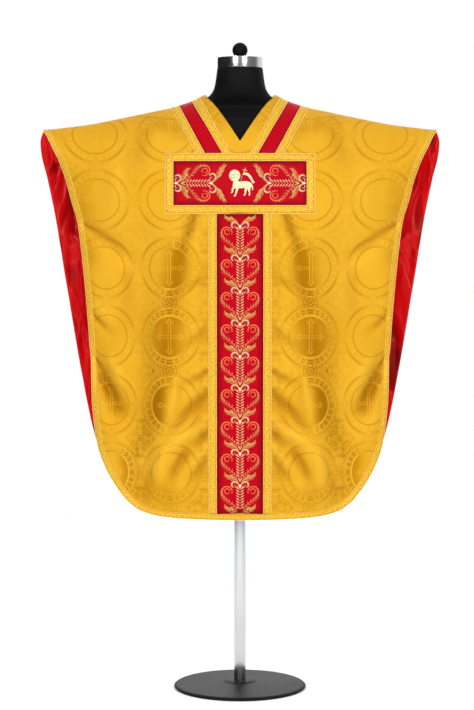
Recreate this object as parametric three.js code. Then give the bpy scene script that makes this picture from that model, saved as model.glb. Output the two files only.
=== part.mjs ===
// A borromean chasuble worn by a limbless dress form on a pole stand.
// Millimetres, +Z up. The front of the garment faces -Y, and the origin is the middle of the base, on the floor.
//
// Every piece of cloth is cut from one drape. A point of the drape has two cloth coordinates: x, across the
// garment, and run, the length of cloth from the shoulder fold, positive down the front and negative down the back.
// Panels, lining, bands and galloon are lists of cells of that drape, given a thickness along its normals.
import * as THREE from 'three';

// Thickness of each layer and the space between layers and between neighbours
const brocadeWall = 1.6;
const liningWall = 1.2;
const trimWall = 1.2;
const layerGap = 0.3;
const seamInset = 0.17;

// Widths that a maker would cut
const galloonWidth = 22;
const edgeGalloonWidth = 15.5; // along the sides and the hem
const columnBandHalf = 61;
const crossbarHalf = 175;
const crossbarTop = 1425;
const crossbarBottom = 1309.5;
const frameBottom = crossbarBottom - galloonWidth;
const frameTop = crossbarTop + 20; // the chest leans back here
const neckHalf = 91;
const neckPoint = 1478; // height of the bottom of the V
const backNeckRun = 88;

// The ridge of the shoulders: height of the fold at each distance from the middle
const shoulder = [
  { x: 0, z: 1611 },
  { x: 95, z: 1604 },
  { x: 120, z: 1590 },
  { x: 162, z: 1575 },
  { x: 227, z: 1561 },
  { x: 313, z: 1543 },
  { x: 400, z: 1526 },
  { x: 486, z: 1515 },
  { x: 545, z: 1508 },
];

// How far the cloth stands in front of and behind the ridge, and the radius it rolls over the ridge with
const hang = [
  { x: 0, front: 138, back: 120, roll: 60 },
  { x: 150, front: 134, back: 118, roll: 60 },
  { x: 250, front: 118, back: 104, roll: 57 },
  { x: 350, front: 92, back: 84, roll: 46 },
  { x: 450, front: 62, back: 60, roll: 31 },
  { x: 545, front: 36, back: 36, roll: 17 },
];

// Side edges, from the sleeve's end down to the rounded corner of the hem
const frontSide = [
  { z: 1508, x: 529 },
  { z: 1497, x: 518 },
  { z: 1462, x: 499 },
  { z: 1430, x: 482 },
  { z: 1376, x: 462 },
  { z: 1322, x: 448 },
  { z: 1269, x: 433 },
  { z: 1189, x: 421 },
  { z: 1056, x: 408 },
  { z: 923, x: 399 },
  { z: 790, x: 394 },
  { z: 710, x: 386 },
  { z: 658, x: 376 },
  { z: 606, x: 355 },
  { z: 560, x: 328 },
  { z: 525, x: 301 },
];
const backSide = [
  { z: 1508, x: 529 },
  { z: 1486, x: 538 },
  { z: 1459, x: 538 },
  { z: 1432, x: 534 },
  { z: 1378, x: 520 },
  { z: 1269, x: 499 },
  { z: 1187, x: 486 },
  { z: 1051, x: 465 },
  { z: 914, x: 443 },
  { z: 777, x: 419 },
  { z: 694, x: 401 },
  { z: 638, x: 384 },
  { z: 590, x: 363 },
  { z: 548, x: 335 },
  { z: 511, x: 301 },
];

// Hem, from the middle out to the same rounded corner
const frontHem = [
  { x: 0, z: 477 },
  { x: 80, z: 478 },
  { x: 150, z: 481 },
  { x: 200, z: 485 },
  { x: 239, z: 492 },
  { x: 272, z: 504 },
  { x: 301, z: 525 },
];
const backHem = [
  { x: 0, z: 468 },
  { x: 80, z: 469 },
  { x: 150, z: 473 },
  { x: 200, z: 474 },
  { x: 240, z: 480 },
  { x: 272, z: 491 },
  { x: 301, z: 511 },
];

// Large folds: a soft ridge (lift above 0) or trough (below 0) along the line from one point to the other
const frontFolds = [
  { x: 138, z: 1270, toX: 205, toZ: 960, lift: 11, width: 42 },
  { x: 205, z: 960, toX: 196, toZ: 560, lift: 15, width: 46 },
  { x: 262, z: 1210, toX: 276, toZ: 560, lift: -11, width: 40 },
  { x: 430, z: 1282, toX: 300, toZ: 1180, lift: -8, width: 30 },
  { x: 384, z: 905, toX: 322, toZ: 765, lift: -16, width: 30 },
  { x: 112, z: 812, toX: 160, toZ: 590, lift: -9, width: 26 },
];
const backFolds = [
  { x: 150, z: 1250, toX: 172, toZ: 520, lift: 12, width: 44 },
  { x: 60, z: 1080, toX: 74, toZ: 500, lift: -8, width: 36 },
  { x: 250, z: 1180, toX: 262, toZ: 540, lift: -12, width: 40 },
  { x: 352, z: 1060, toX: 330, toZ: 640, lift: 9, width: 38 },
  { x: 470, z: 1230, toX: 340, toZ: 1120, lift: -8, width: 30 },
];

// The shoulder seam lies in front of the fold by this much cloth
const seam = [
  { x: 60, run: 40 },
  { x: 91, run: 40 },
  { x: 128, run: 64 },
  { x: 166, run: 76 },
  { x: 240, run: 42 },
  { x: 300, run: 20 },
  { x: 356, run: 10 },
  { x: 545, run: 6 },
];

// Lines that run down the front: x on the shoulder fold, at the top of the crossbar, and below the crossbar
const downLines = [
  { name: 'middle', ridge: 0, bar: 0, low: 0 },
  { name: 'V edge', ridge: 46, bar: 9, low: 20 },
  { name: 'neck corner', ridge: neckHalf, bar: 18, low: 40 },
  { name: 'inner galloon', ridge: 108, bar: 26, low: columnBandHalf },
  { name: 'band, inner', ridge: 128, bar: 46, low: columnBandHalf + galloonWidth },
  { name: 'band, outer', ridge: 163, bar: 92, low: 112 },
  { name: 'outer galloon', ridge: 184, bar: 115, low: 143 },
  { name: 'crossbar end', ridge: 206, bar: crossbarHalf, low: crossbarHalf },
  { name: 'frame end', ridge: 238, bar: crossbarHalf + galloonWidth, low: crossbarHalf + galloonWidth },
];
const neckLine = 2;
const innerGalloon = 3;
const bandInner = 4;
const bandOuter = 5;
const outerGalloon = 6;
const crossbarEnd = 7;
const frameEnd = 8;
const galloonLine = 15; // the edge galloon's inner side
const edgeLine = 16;

const overFold = [0.28, 0.62]; // rays of the back between the fold and the seam, as shares of the seam's run
const yokeRows = 5; // rows from the seam to the crossbar's frame
const barRows = [frameTop, crossbarTop, (crossbarTop + crossbarBottom) / 2, crossbarBottom, frameBottom];
const lowRows = 16; // rows from the crossbar's frame to the hem galloon

// Rays of the back, from its middle round to the shoulder fold: the turn round the neck in degrees, and the
// share of the edge's length from the fold to the middle of the hem
const backRays = [
  { turn: 90, along: 1 },
  { turn: 84, along: 0.945 },
  { turn: 78, along: 0.89 },
  { turn: 72, along: 0.845 },
  { turn: 66, along: 0.805 },
  { turn: 60, along: 0.77 },
  { turn: 54, along: 0.735 },
  { turn: 48, along: 0.69 },
  { turn: 41, along: 0.6 },
  { turn: 33, along: 0.48 },
  { turn: 25, along: 0.36 },
  { turn: 18, along: 0.245 },
  { turn: 11.5, along: 0.145 },
  { turn: 5.5, along: 0.06 },
  { turn: 0, along: 0 },
];

// The dress form, from the bottom of the body to the top of its neck
const formRings = [
  { z: 850, half: 164, deep: 92 },
  { z: 862, half: 174, deep: 100 },
  { z: 930, half: 180, deep: 108 },
  { z: 1010, half: 174, deep: 104 },
  { z: 1100, half: 164, deep: 96 },
  { z: 1200, half: 178, deep: 103 },
  { z: 1310, half: 196, deep: 108 },
  { z: 1390, half: 207, deep: 102 },
  { z: 1460, half: 215, deep: 86 },
  { z: 1515, half: 218, deep: 66 },
  { z: 1545, half: 213, deep: 52 },
  { z: 1560, half: 198, deep: 40 },
  { z: 1572.9, half: 162, deep: 32 },
  { z: 1586, half: 118, deep: 38 },
  { z: 1602, half: 84, deep: 50 },
  { z: 1622, half: 70, deep: 60 },
  { z: 1650, half: 64.5, deep: 64.5 },
  { z: 1676.7, half: 61, deep: 61 },
];
const neckBand = { low: 1677, high: 1705, radius: 62 };
const knob = { radius: 20.5, middle: 1725 };
const pole = { radius: 16, low: 20.3, high: 849.7 };
const base = [
  { r: 0, z: 20 },
  { r: 34, z: 20 },
  { r: 44, z: 15 },
  { r: 120, z: 12 },
  { r: 174, z: 9 },
  { r: 180, z: 5 },
  { r: 178, z: 0 },
  { r: 0, z: 0 },
];

// A smooth curve through the rows of a table, from one of its columns to another
function curve(rows, from, to) {
  const last = rows.length - 1;
  const rising = rows[last][from] > rows[0][from];
  const slope = (i) => {
    const a = rows[Math.max(i - 1, 0)];
    const b = rows[Math.min(i + 1, last)];
    return (b[to] - a[to]) / (b[from] - a[from]);
  };
  return (at) => {
    let i = 0;
    while (i < last - 1 && (rising ? at > rows[i + 1][from] : at < rows[i + 1][from])) i++;
    const width = rows[i + 1][from] - rows[i][from];
    const t = THREE.MathUtils.clamp((at - rows[i][from]) / width, 0, 1);
    const s = t * t * (3 - 2 * t);
    const bend = slope(i) * t * (1 - t) * (1 - t) - slope(i + 1) * t * t * (1 - t);
    return rows[i][to] * (1 - s) + rows[i + 1][to] * s + bend * width;
  };
}

const ridgeHeight = curve(shoulder, 'x', 'z');
const frontDepth = curve(hang, 'x', 'front');
const backDepth = curve(hang, 'x', 'back');
const rollRadius = curve(hang, 'x', 'roll');
const seamRun = curve(seam, 'x', 'run');
const mix = THREE.MathUtils.lerp;
const mixPoint = (a, b, share) => [mix(a[0], b[0], share), mix(a[1], b[1], share)];

// Height lost by a length of cloth from the fold, and the length that loses a height
function dropOf(x, run) {
  const roll = rollRadius(Math.abs(x));
  return Math.hypot(run, roll) - roll;
}

function runOf(x, drop) {
  return Math.sqrt(drop * drop + 2 * rollRadius(Math.abs(x)) * drop);
}

function foldLift(folds, x, z) {
  let lift = 0;
  for (const fold of folds) {
    const alongX = fold.toX - fold.x;
    const alongZ = fold.toZ - fold.z;
    const share = ((x - fold.x) * alongX + (z - fold.z) * alongZ) / (alongX * alongX + alongZ * alongZ);
    const near = THREE.MathUtils.clamp(share, 0, 1);
    const away = Math.hypot(x - fold.x - near * alongX, z - fold.z - near * alongZ);
    lift += fold.lift * Math.exp(-((away / fold.width) ** 2));
  }
  return lift;
}

// The stiff column and crossbar keep folds out from under them
function freeOfBands(x, z, onFront) {
  const barShare = THREE.MathUtils.smoothstep(z, frameBottom - 110, frameBottom);
  const half = onFront ? mix(columnBandHalf + galloonWidth, 215, barShare) : 0;
  return THREE.MathUtils.smoothstep(x, half - 10, half + 50);
}

// A point on the inner face of the brocade
function drape(x, run) {
  const side = Math.abs(x);
  const drop = dropOf(x, run);
  const z = ridgeHeight(side) - drop;
  const onFront = run > 0;
  const depth = onFront ? frontDepth(side) : backDepth(side);
  const left = Math.max(1 - (drop * rollRadius(side)) / (depth * depth), 0);
  const loose = freeOfBands(side, z, onFront) * THREE.MathUtils.smoothstep(drop, 30, 160);
  const out = depth * Math.sqrt(1 - left * left) + foldLift(onFront ? frontFolds : backFolds, side, z) * loose;
  return new THREE.Vector3(x, onFront ? -out : out, z);
}

function normalOf(x, run) {
  const step = 2;
  const across = drape(x + step, run).sub(drape(x - step, run));
  const down = drape(x, run + step).sub(drape(x, run - step));
  return down.cross(across).normalize();
}

// The side of a cell that faces the same way as the cloth
function turned(cell) {
  let area = 0;
  cell.forEach(([x, run], i) => {
    const [nextX, nextRun] = cell[(i + 1) % 4];
    area += x * nextRun - nextX * run;
  });
  return area < 0 ? cell : [cell[0], cell[3], cell[2], cell[1]];
}

// A wall of cloth over a list of cells, between two offsets from the drape.
// A cell is four cloth points [x, run], and each piece stops a little short of its outline.
function wallOf(cells, inner, outer) {
  const spots = new Map();
  const spotOf = (point) => {
    const key = point.map((value) => Math.round(value * 100)).join();
    if (!spots.has(key)) spots.set(key, { id: spots.size, point, inward: [] });
    return spots.get(key);
  };
  const quads = cells.map((cell) => turned(cell).map(spotOf));
  const edges = new Map();
  for (const quad of quads) {
    quad.forEach((spot, i) => {
      const next = quad[(i + 1) % 4];
      edges.set(`${spot.id}>${next.id}`, [spot, next]);
    });
  }
  const rim = [...edges.values()].filter(([a, b]) => !edges.has(`${b.id}>${a.id}`));
  for (const [a, b] of rim) {
    const across = new THREE.Vector2(b.point[1] - a.point[1], a.point[0] - b.point[0]).normalize();
    a.inward.push(across);
    b.inward.push(across);
  }
  for (const spot of spots.values()) {
    let [x, run] = spot.point;
    if (spot.inward.length === 2) {
      const [one, two] = spot.inward;
      const reach = seamInset / (1 + one.dot(two));
      x += (one.x + two.x) * reach;
      run += (one.y + two.y) * reach;
    }
    const face = drape(x, run);
    const normal = normalOf(x, run);
    spot.low = face.clone().addScaledVector(normal, inner);
    spot.high = face.clone().addScaledVector(normal, outer);
  }
  const faces = [];
  for (const [a, b, c, d] of quads) {
    const shortFirst = a.high.distanceTo(c.high) <= b.high.distanceTo(d.high);
    const halves = shortFirst ? [a, b, c, a, c, d] : [a, b, d, b, c, d];
    for (const spot of halves) faces.push(spot.high);
    for (const spot of halves.slice().reverse()) faces.push(spot.low);
  }
  for (const [a, b] of rim) faces.push(a.high, a.low, b.low, a.high, b.low, b.high);
  return new THREE.BufferGeometry().setFromPoints(faces);
}

// Cells of a grid between two rows and two lines
function cellsOf(grid, rowFrom, rowTo, lineFrom, lineTo) {
  const cells = [];
  for (let r = rowFrom; r < rowTo; r++) {
    for (let k = lineFrom; k < lineTo; k++) {
      cells.push([grid[r][k], grid[r + 1][k], grid[r + 1][k + 1], grid[r][k + 1]]);
    }
  }
  return cells;
}

const mirrored = (cells) => cells.map((cell) => cell.map(([x, run]) => [x === 0 ? 0 : -x, run]));
const bothSides = (cells) => [...cells, ...mirrored(cells)];

// A cloth point at a height on the front
function atHeight(x, z, way = 1) {
  return [x, way * runOf(x, ridgeHeight(x) - z)];
}

// The point of a line of the yoke at a length of cloth from the fold: the bands run straight to the crossbar
function onLine(line, run) {
  const top = ridgeHeight(line.ridge);
  let x = line.ridge;
  for (let turn = 0; turn < 8; turn++) {
    const z = ridgeHeight(x) - dropOf(x, run);
    x = line.bar + ((line.ridge - line.bar) * (z - frameTop)) / (top - frameTop);
  }
  return [x, run];
}

function onSeam(line) {
  let point = [line.ridge, seamRun(line.ridge)];
  for (let turn = 0; turn < 8; turn++) point = onLine(line, seamRun(point[0]));
  return point;
}

// Cloth points along an outline, first down its side and then in along its hem
function outline(side, hem, way) {
  const toPoint = ({ x, z }) => new THREE.Vector2(...atHeight(x, Math.min(z, ridgeHeight(x) - 0.001), way));
  const inwards = hem.slice(0, -1).reverse();
  return new THREE.SplineCurve([...side, ...inwards].map(toPoint));
}

// Moves the points of an outline inwards by the edge galloon's width
function inset(path) {
  return path.map((point, i) => {
    const before = path[Math.max(i - 1, 0)];
    const after = path[Math.min(i + 1, path.length - 1)];
    const length = Math.hypot(after[0] - before[0], after[1] - before[1]);
    const way = Math.sign(after[1] + before[1]) * (edgeGalloonWidth / length);
    return [point[0] - way * (after[1] - before[1]), point[1] + way * (after[0] - before[0])];
  });
}

// The seam as one row of cloth points, shared by the front and the back
function seamRow() {
  const row = [];
  for (let k = neckLine; k <= frameEnd; k++) row[k] = onSeam(downLines[k]);
  const tip = [528, seamRun(528)];
  const inner = [tip[0] - edgeGalloonWidth, seamRun(tip[0] - edgeGalloonWidth)];
  for (let k = frameEnd + 1; k < galloonLine; k++) {
    const x = mix(row[frameEnd][0], inner[0], (k - frameEnd) / (galloonLine - frameEnd));
    row[k] = [x, seamRun(x)];
  }
  row[galloonLine] = inner;
  row[edgeLine] = tip;
  return row;
}

// The front, as rows of cloth points from the seam to the hem
function frontGrid() {
  const hemHeight = curve(frontHem, 'x', 'z');
  const sideAt = curve(frontSide, 'z', 'x');
  const top = seamRow();
  const barRow = downLines.map((line) => atHeight(line.bar, frameTop));
  const point = atHeight(0, neckPoint);
  const veeEdge = [point, mixPoint(point, top[neckLine], 0.5)];
  const rows = [];
  for (let r = 0; r < yokeRows; r++) {
    const share = r / yokeRows;
    rows.push(
      downLines.map((line, k) => {
        if (k < neckLine) return mixPoint(veeEdge[k], barRow[k], share);
        return r === 0 ? top[k] : onLine(line, mix(top[k][1], barRow[k][1], share));
      }),
    );
  }
  for (const z of barRows) {
    const share = (frameTop - z) / (frameTop - frameBottom);
    rows.push(downLines.map((line) => atHeight(mix(line.bar, line.low, share), z)));
  }
  const underBar = rows.at(-1);
  const overHem = downLines.map((line) => atHeight(line.low, hemHeight(line.low) + edgeGalloonWidth));
  for (let r = 1; r <= lowRows; r++) {
    rows.push(downLines.map((line, k) => mixPoint(underBar[k], overHem[k], r / lowRows)));
  }

  // The wing, from the frame's end to the edge galloon, is blended from its four sides
  const last = rows.length - 1;
  const corner = atHeight(301, hemHeight(301));
  const onSide = (run) => {
    let x = 480;
    for (let turn = 0; turn < 12; turn++) x = sideAt(ridgeHeight(x) - dropOf(x, run));
    return [x, run];
  };
  const side = rows.map((row, r) => {
    const share = (row[frameEnd][1] - top[frameEnd][1]) / (overHem[frameEnd][1] - top[frameEnd][1]);
    return r === 0 ? top[edgeLine] : onSide(mix(top[edgeLine][1], corner[1] - 24, share));
  });
  const hem = [];
  for (let k = 0; k < edgeLine; k++) {
    const share = Math.max(k - frameEnd, 0) / (galloonLine - frameEnd);
    const x = k <= frameEnd ? downLines[k].low : mix(downLines[frameEnd].low, corner[0] - 20, share);
    hem[k] = atHeight(x, hemHeight(x));
  }
  const within = inset([...side, corner, ...hem.slice().reverse()]);
  const innerSide = [top[galloonLine], ...within.slice(1, last), within[last + 1]];
  rows.forEach((row, r) => {
    const v = r / last;
    for (let k = frameEnd + 1; k < galloonLine; k++) {
      const u = (k - frameEnd) / (galloonLine - frameEnd);
      const bottom = within[last + 1 + (galloonLine - k)];
      row[k] = [0, 1].map((axis) => {
        const across = mix(row[frameEnd][axis], innerSide[r][axis], u);
        const down = mix(top[k][axis], bottom[axis], v);
        const acrossTop = mix(top[frameEnd][axis], innerSide[0][axis], u);
        const acrossBottom = mix(overHem[frameEnd][axis], innerSide[last][axis], u);
        return across + down - mix(acrossTop, acrossBottom, v);
      });
    }
    row[galloonLine] = innerSide[r];
    row[edgeLine] = side[r];
  });
  rows.push([...hem, corner]);
  return rows;
}

// The back, as rays of cloth points from the neck out to the edge
function backGrid() {
  const top = seamRow();
  const edge = outline(backSide, backHem, -1);
  const rays = backRays.map(({ turn, along }) => {
    const angle = THREE.MathUtils.degToRad(turn);
    const ray = [];
    for (let k = neckLine; k <= outerGalloon; k++) {
      const across = downLines[k].ridge;
      ray[k] = [across * Math.cos(angle), -(backNeckRun + across - neckHalf) * Math.sin(angle)];
    }
    const end = edge.getPointAt(along);
    ray[edgeLine] = [end.x, end.y];
    return ray;
  });
  for (const point of rays[0]) if (point) point[0] = 0;
  const within = inset(rays.map((ray) => ray[edgeLine]).reverse()).reverse();
  within[0] = [0, rays[0][edgeLine][1] + edgeGalloonWidth];
  within[rays.length - 1] = [top[galloonLine][0], 0];
  rays.forEach((ray, m) => {
    const blend = Math.min((rays.length - 1 - m) / 5, 1);
    ray[galloonLine] = within[m];
    for (let k = outerGalloon + 1; k < galloonLine; k++) {
      const alike = (top[k][0] - top[outerGalloon][0]) / (top[galloonLine][0] - top[outerGalloon][0]);
      const even = (k - outerGalloon) / (galloonLine - outerGalloon);
      ray[k] = mixPoint(ray[outerGalloon], within[m], mix(alike, even, blend));
    }
  });
  for (const share of overFold) {
    rays.push(top.map(([x, run], k) => (k <= outerGalloon ? onLine(downLines[k], run * share) : [x, run * share])));
  }
  rays.push(top);
  return rays;
}

// A loft through rings of points, closed at both ends
function loft(rings) {
  const around = rings[0].length;
  const faces = [];
  for (let r = 0; r < rings.length - 1; r++) {
    for (let i = 0; i < around; i++) {
      const a = rings[r][i];
      const b = rings[r][(i + 1) % around];
      const c = rings[r + 1][(i + 1) % around];
      const d = rings[r + 1][i];
      faces.push(a, b, c, a, c, d);
    }
  }
  const low = rings[0];
  const high = rings.at(-1);
  for (let i = 1; i < around - 1; i++) {
    faces.push(low[0], low[i + 1], low[i]);
    faces.push(high[0], high[i], high[i + 1]);
  }
  return new THREE.BufferGeometry().setFromPoints(faces);
}

function ovalRing(z, half, deep, around) {
  return Array.from({ length: around }, (_, i) => {
    const angle = (i / around) * Math.PI * 2;
    const x = Math.sign(Math.cos(angle)) * Math.abs(Math.cos(angle)) ** 0.9;
    const y = Math.sign(Math.sin(angle)) * Math.abs(Math.sin(angle)) ** 0.9;
    return new THREE.Vector3(half * x, deep * y, z);
  });
}

// A turned solid from a profile that runs from the top of the axis to its bottom
function turnedSolid(profile, around) {
  const points = profile.map(({ r, z }) => new THREE.Vector2(r, z));
  return new THREE.LatheGeometry(points.reverse(), around).rotateX(Math.PI / 2);
}

function formBody() {
  return loft(formRings.map(({ z, half, deep }) => ovalRing(z, half, deep, 28)));
}

function formNeckBand() {
  const { low, high, radius } = neckBand;
  const profile = [
    { r: 0, z: high },
    { r: radius - 2, z: high },
    { r: radius, z: high - 2 },
    { r: radius, z: low + 2 },
    { r: radius - 2, z: low },
    { r: 0, z: low },
  ];
  return turnedSolid(profile, 32);
}

function formKnob() {
  const seat = neckBand.high + layerGap;
  const profile = [];
  for (let i = 0; i <= 9; i++) {
    const angle = (i / 9) * Math.acos((seat - knob.middle) / knob.radius);
    profile.push({ r: knob.radius * Math.sin(angle), z: knob.middle + knob.radius * Math.cos(angle) });
  }
  profile.push({ r: 0, z: seat });
  return turnedSolid(profile, 20);
}

function formPole() {
  const { radius, low, high } = pole;
  return turnedSolid([{ r: 0, z: high }, { r: radius, z: high }, { r: radius, z: low }, { r: 0, z: low }], 20);
}

const front = frontGrid();
const back = backGrid();
const hemRow = front.length - 2;
const barRow = yokeRows;
const lastRay = back.length - 1;

const brocade = new THREE.MeshStandardMaterial({ color: 0xe9af2a, roughness: 0.55 });
const lining = new THREE.MeshStandardMaterial({ color: 0xc91614, roughness: 0.4 });
const orphrey = new THREE.MeshStandardMaterial({ color: 0xb8121b, roughness: 0.6 });
const galloon = new THREE.MeshStandardMaterial({ color: 0xf6c344, roughness: 0.5 });
const black = new THREE.MeshStandardMaterial({ color: 0x1c1c1c, roughness: 0.5 });
const chrome = new THREE.MeshStandardMaterial({ color: 0xc8ccd0, roughness: 0.15, metalness: 1 });

const chasuble = new THREE.Group();

function add(name, geometry, material) {
  const mesh = new THREE.Mesh(geometry, material);
  mesh.name = name;
  chasuble.add(mesh);
}

const trimLow = brocadeWall + layerGap;
const brocadeOver = (cells) => wallOf(cells, 0, brocadeWall);
const trimOver = (cells) => wallOf(cells, trimLow, trimLow + trimWall);

// Panels and lining
const frontCells = cellsOf(front, 0, hemRow + 1, 0, edgeLine);
const backCells = cellsOf(back, 0, lastRay, neckLine, edgeLine);
add('front_panel', brocadeOver(bothSides(frontCells)), brocade);
add('back_panel', brocadeOver(bothSides(backCells)), brocade);
add('back_lining', wallOf(bothSides(backCells), -layerGap - liningWall, -layerGap), lining);

// Column and crossbar
const column = cellsOf(front, barRow + 4, hemRow, 0, innerGalloon);
const columnEdge = cellsOf(front, barRow + 4, hemRow, innerGalloon, bandInner);
const barFrame = [
  ...cellsOf(front, barRow, barRow + 1, 0, frameEnd),
  ...cellsOf(front, barRow + 1, barRow + 3, crossbarEnd, frameEnd),
  ...cellsOf(front, barRow + 3, barRow + 4, 0, frameEnd),
];
add('column_band', trimOver(bothSides(column)), orphrey);
add('column_galloon_right', trimOver(columnEdge), galloon);
add('column_galloon_left', trimOver(mirrored(columnEdge)), galloon);
add('crossbar_band', trimOver(bothSides(cellsOf(front, barRow + 1, barRow + 3, 0, crossbarEnd))), orphrey);
add('crossbar_galloon', trimOver(bothSides(barFrame)), galloon);

// Shoulder band, from one end of the crossbar round the back of the neck to the other
function aroundNeck(lineFrom, lineTo) {
  const yoke = cellsOf(front, 0, yokeRows, lineFrom, lineTo);
  return bothSides([...yoke, ...cellsOf(back, 0, lastRay, lineFrom, lineTo)]);
}
add('shoulder_band', trimOver(aroundNeck(bandInner, bandOuter)), orphrey);
add('shoulder_galloon_inner', trimOver(aroundNeck(innerGalloon, bandInner)), galloon);
add('shoulder_galloon_outer', trimOver(aroundNeck(bandOuter, outerGalloon)), galloon);

// Galloon along the edges of the front and the back
const frontEdge = [
  ...cellsOf(front, 0, hemRow, galloonLine, edgeLine),
  ...cellsOf(front, hemRow, hemRow + 1, 0, edgeLine),
];
add('edge_galloon_front', trimOver(bothSides(frontEdge)), galloon);
add('edge_galloon_back', trimOver(bothSides(cellsOf(back, 0, lastRay, galloonLine, edgeLine))), galloon);

// Dress form and stand
add('form_body', formBody(), black);
add('form_neck_band', formNeckBand(), chrome);
add('form_knob', formKnob(), black);
add('form_pole', formPole(), chrome);
add('form_base', turnedSolid(base, 48), black);

export default chasuble;
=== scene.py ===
import math

import bpy
import numpy as np
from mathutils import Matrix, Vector


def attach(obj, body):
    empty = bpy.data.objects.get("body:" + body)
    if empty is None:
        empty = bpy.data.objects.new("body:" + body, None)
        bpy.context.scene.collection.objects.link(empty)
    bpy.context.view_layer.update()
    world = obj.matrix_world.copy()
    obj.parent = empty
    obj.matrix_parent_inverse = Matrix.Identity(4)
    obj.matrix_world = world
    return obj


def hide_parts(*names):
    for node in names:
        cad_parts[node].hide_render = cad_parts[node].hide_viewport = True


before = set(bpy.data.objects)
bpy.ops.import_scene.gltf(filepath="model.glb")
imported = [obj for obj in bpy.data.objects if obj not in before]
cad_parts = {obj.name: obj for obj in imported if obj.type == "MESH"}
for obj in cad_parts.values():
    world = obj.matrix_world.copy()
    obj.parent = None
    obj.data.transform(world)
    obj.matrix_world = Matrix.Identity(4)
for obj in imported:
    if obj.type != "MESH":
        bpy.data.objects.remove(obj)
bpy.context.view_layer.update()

scene = bpy.context.scene
mm = 0.001
print("frame:", len(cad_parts), "nodes")


# camera

view = {"place": (-0.008, -5.5, 1.25), "aim": (-0.008, 0.0, 0.907), "tall": 1.92}


def addCamera(name):
    place = Vector(view["place"])
    aim = Vector(view["aim"])
    data = bpy.data.cameras.new(name)
    data.sensor_fit = "VERTICAL"
    data.angle = 2 * math.atan(view["tall"] / 2 / (aim - place).length)
    camera = bpy.data.objects.new(name, data)
    camera.location = place
    camera.rotation_euler = (aim - place).to_track_quat("-Z", "Y").to_euler()
    scene.collection.objects.link(camera)
    scene.camera = camera


# shader maths and materials


def linear(*rgb):
    return tuple((c / 255 / 12.92) if c <= 10 else ((c / 255 + 0.055) / 1.055) ** 2.4 for c in rgb) + (1.0,)


class Value:  # a socket that can stand in an expression
    def __init__(self, nodes, socket):
        self.nodes = nodes
        self.socket = socket

    def to(self, operation, *others):
        node = self.nodes.add("ShaderNodeMath", {"operation": operation}, dict(enumerate((self, *others))))
        return Value(self.nodes, node.outputs[0])

    def __add__(self, other):
        return self.to("ADD", other)

    def __sub__(self, other):
        return self.to("SUBTRACT", other)

    def __rsub__(self, other):
        return (self * -1) + other

    def __mul__(self, other):
        return self.to("MULTIPLY", other)

    __radd__ = __add__
    __rmul__ = __mul__

    def under(self, edge, soft=0.4):  # 1 below the edge, 0 above it, blended over soft
        return self.nodes.ramp(self, edge - soft, edge + soft, 1, 0)

    def ramped(self, low, high):  # 0 below low, 1 above high
        return self.nodes.ramp(self, low, high, 0, 1)

    def within(self, low, high, soft=0.4):
        return self.under(high, soft) * (1 - self.under(low, soft))

    def either(self, other):
        return self.to("MAXIMUM", other)


class Nodework:  # the nodes of one material, or of the world
    def __init__(self, tree):
        self.tree = tree

    def add(self, kind, settings=None, sockets=None):
        node = self.tree.nodes.new(kind)
        for key, value in (settings or {}).items():
            setattr(node, key, value)
        for key, value in (sockets or {}).items():
            if isinstance(value, Value):
                value = value.socket
            if isinstance(value, bpy.types.NodeSocket):
                self.tree.links.new(value, node.inputs[key])
            else:
                node.inputs[key].default_value = value
        return node

    def value(self, node, output=0):
        return Value(self, node.outputs[output])

    def ramp(self, value, fromLow, fromHigh, toLow, toHigh):
        sockets = {"Value": value, "From Min": fromLow, "From Max": fromHigh,
                   "To Min": toLow, "To Max": toHigh}
        node = self.add("ShaderNodeMapRange", {"interpolation_type": "SMOOTHSTEP"}, sockets)
        return self.value(node)

    def mix(self, factor, one, two):
        node = self.add("ShaderNodeMix", {"data_type": "RGBA"}, {0: factor, 6: one, 7: two})
        return node.outputs[2]


class Finish(Nodework):  # one material
    def __init__(self, name, **shader):
        self.material = bpy.data.materials.new(name)
        self.material.use_nodes = True
        super().__init__(self.material.node_tree)
        self.shader = self.tree.nodes["Principled BSDF"]
        for socket, value in shader.items():
            self.shader.inputs[socket.replace("_", " ")].default_value = value

    def uv(self, layer):  # across in millimetres, the layer as it is, and along in millimetres
        plain = self.add("ShaderNodeUVMap", {"uv_map": layer}).outputs[0]
        split = self.add("ShaderNodeSeparateXYZ", None, {0: plain})
        return self.value(split, 0) * (1 / mm), plain, self.value(split, 1) * (1 / mm)

    def mark(self, name):  # a number that the mesh carries at each point
        return self.value(self.add("ShaderNodeAttribute", {"attribute_name": name}), 2)

    def coats(self, base, *layers):  # each a mask and the colour that it lays on
        for mask, colour in layers:
            base = self.mix(mask, base, colour)
        return base

    def noise(self, scale, detail=2.0, vector=None, roughness=0.5):
        if vector is None:
            vector = self.add("ShaderNodeTexCoord").outputs["Object"]
        sockets = {"Vector": vector, "Scale": scale, "Detail": detail, "Roughness": roughness}
        return self.value(self.add("ShaderNodeTexNoise", None, sockets))

    def bump(self, height, distance, strength=1.0, below=None):
        sockets = {"Height": height, "Distance": distance, "Strength": strength}
        if below is not None:
            sockets["Normal"] = below
        return self.add("ShaderNodeBump", None, sockets).outputs[0]

    def feed(self, **sockets):
        for key, value in sockets.items():
            if isinstance(value, Value):
                value = value.socket
            self.tree.links.new(value, self.shader.inputs[key.replace("_", " ")])
        return self.material


# light: a white backdrop behind and above, a dim room, darker at the left, and three softboxes

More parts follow.
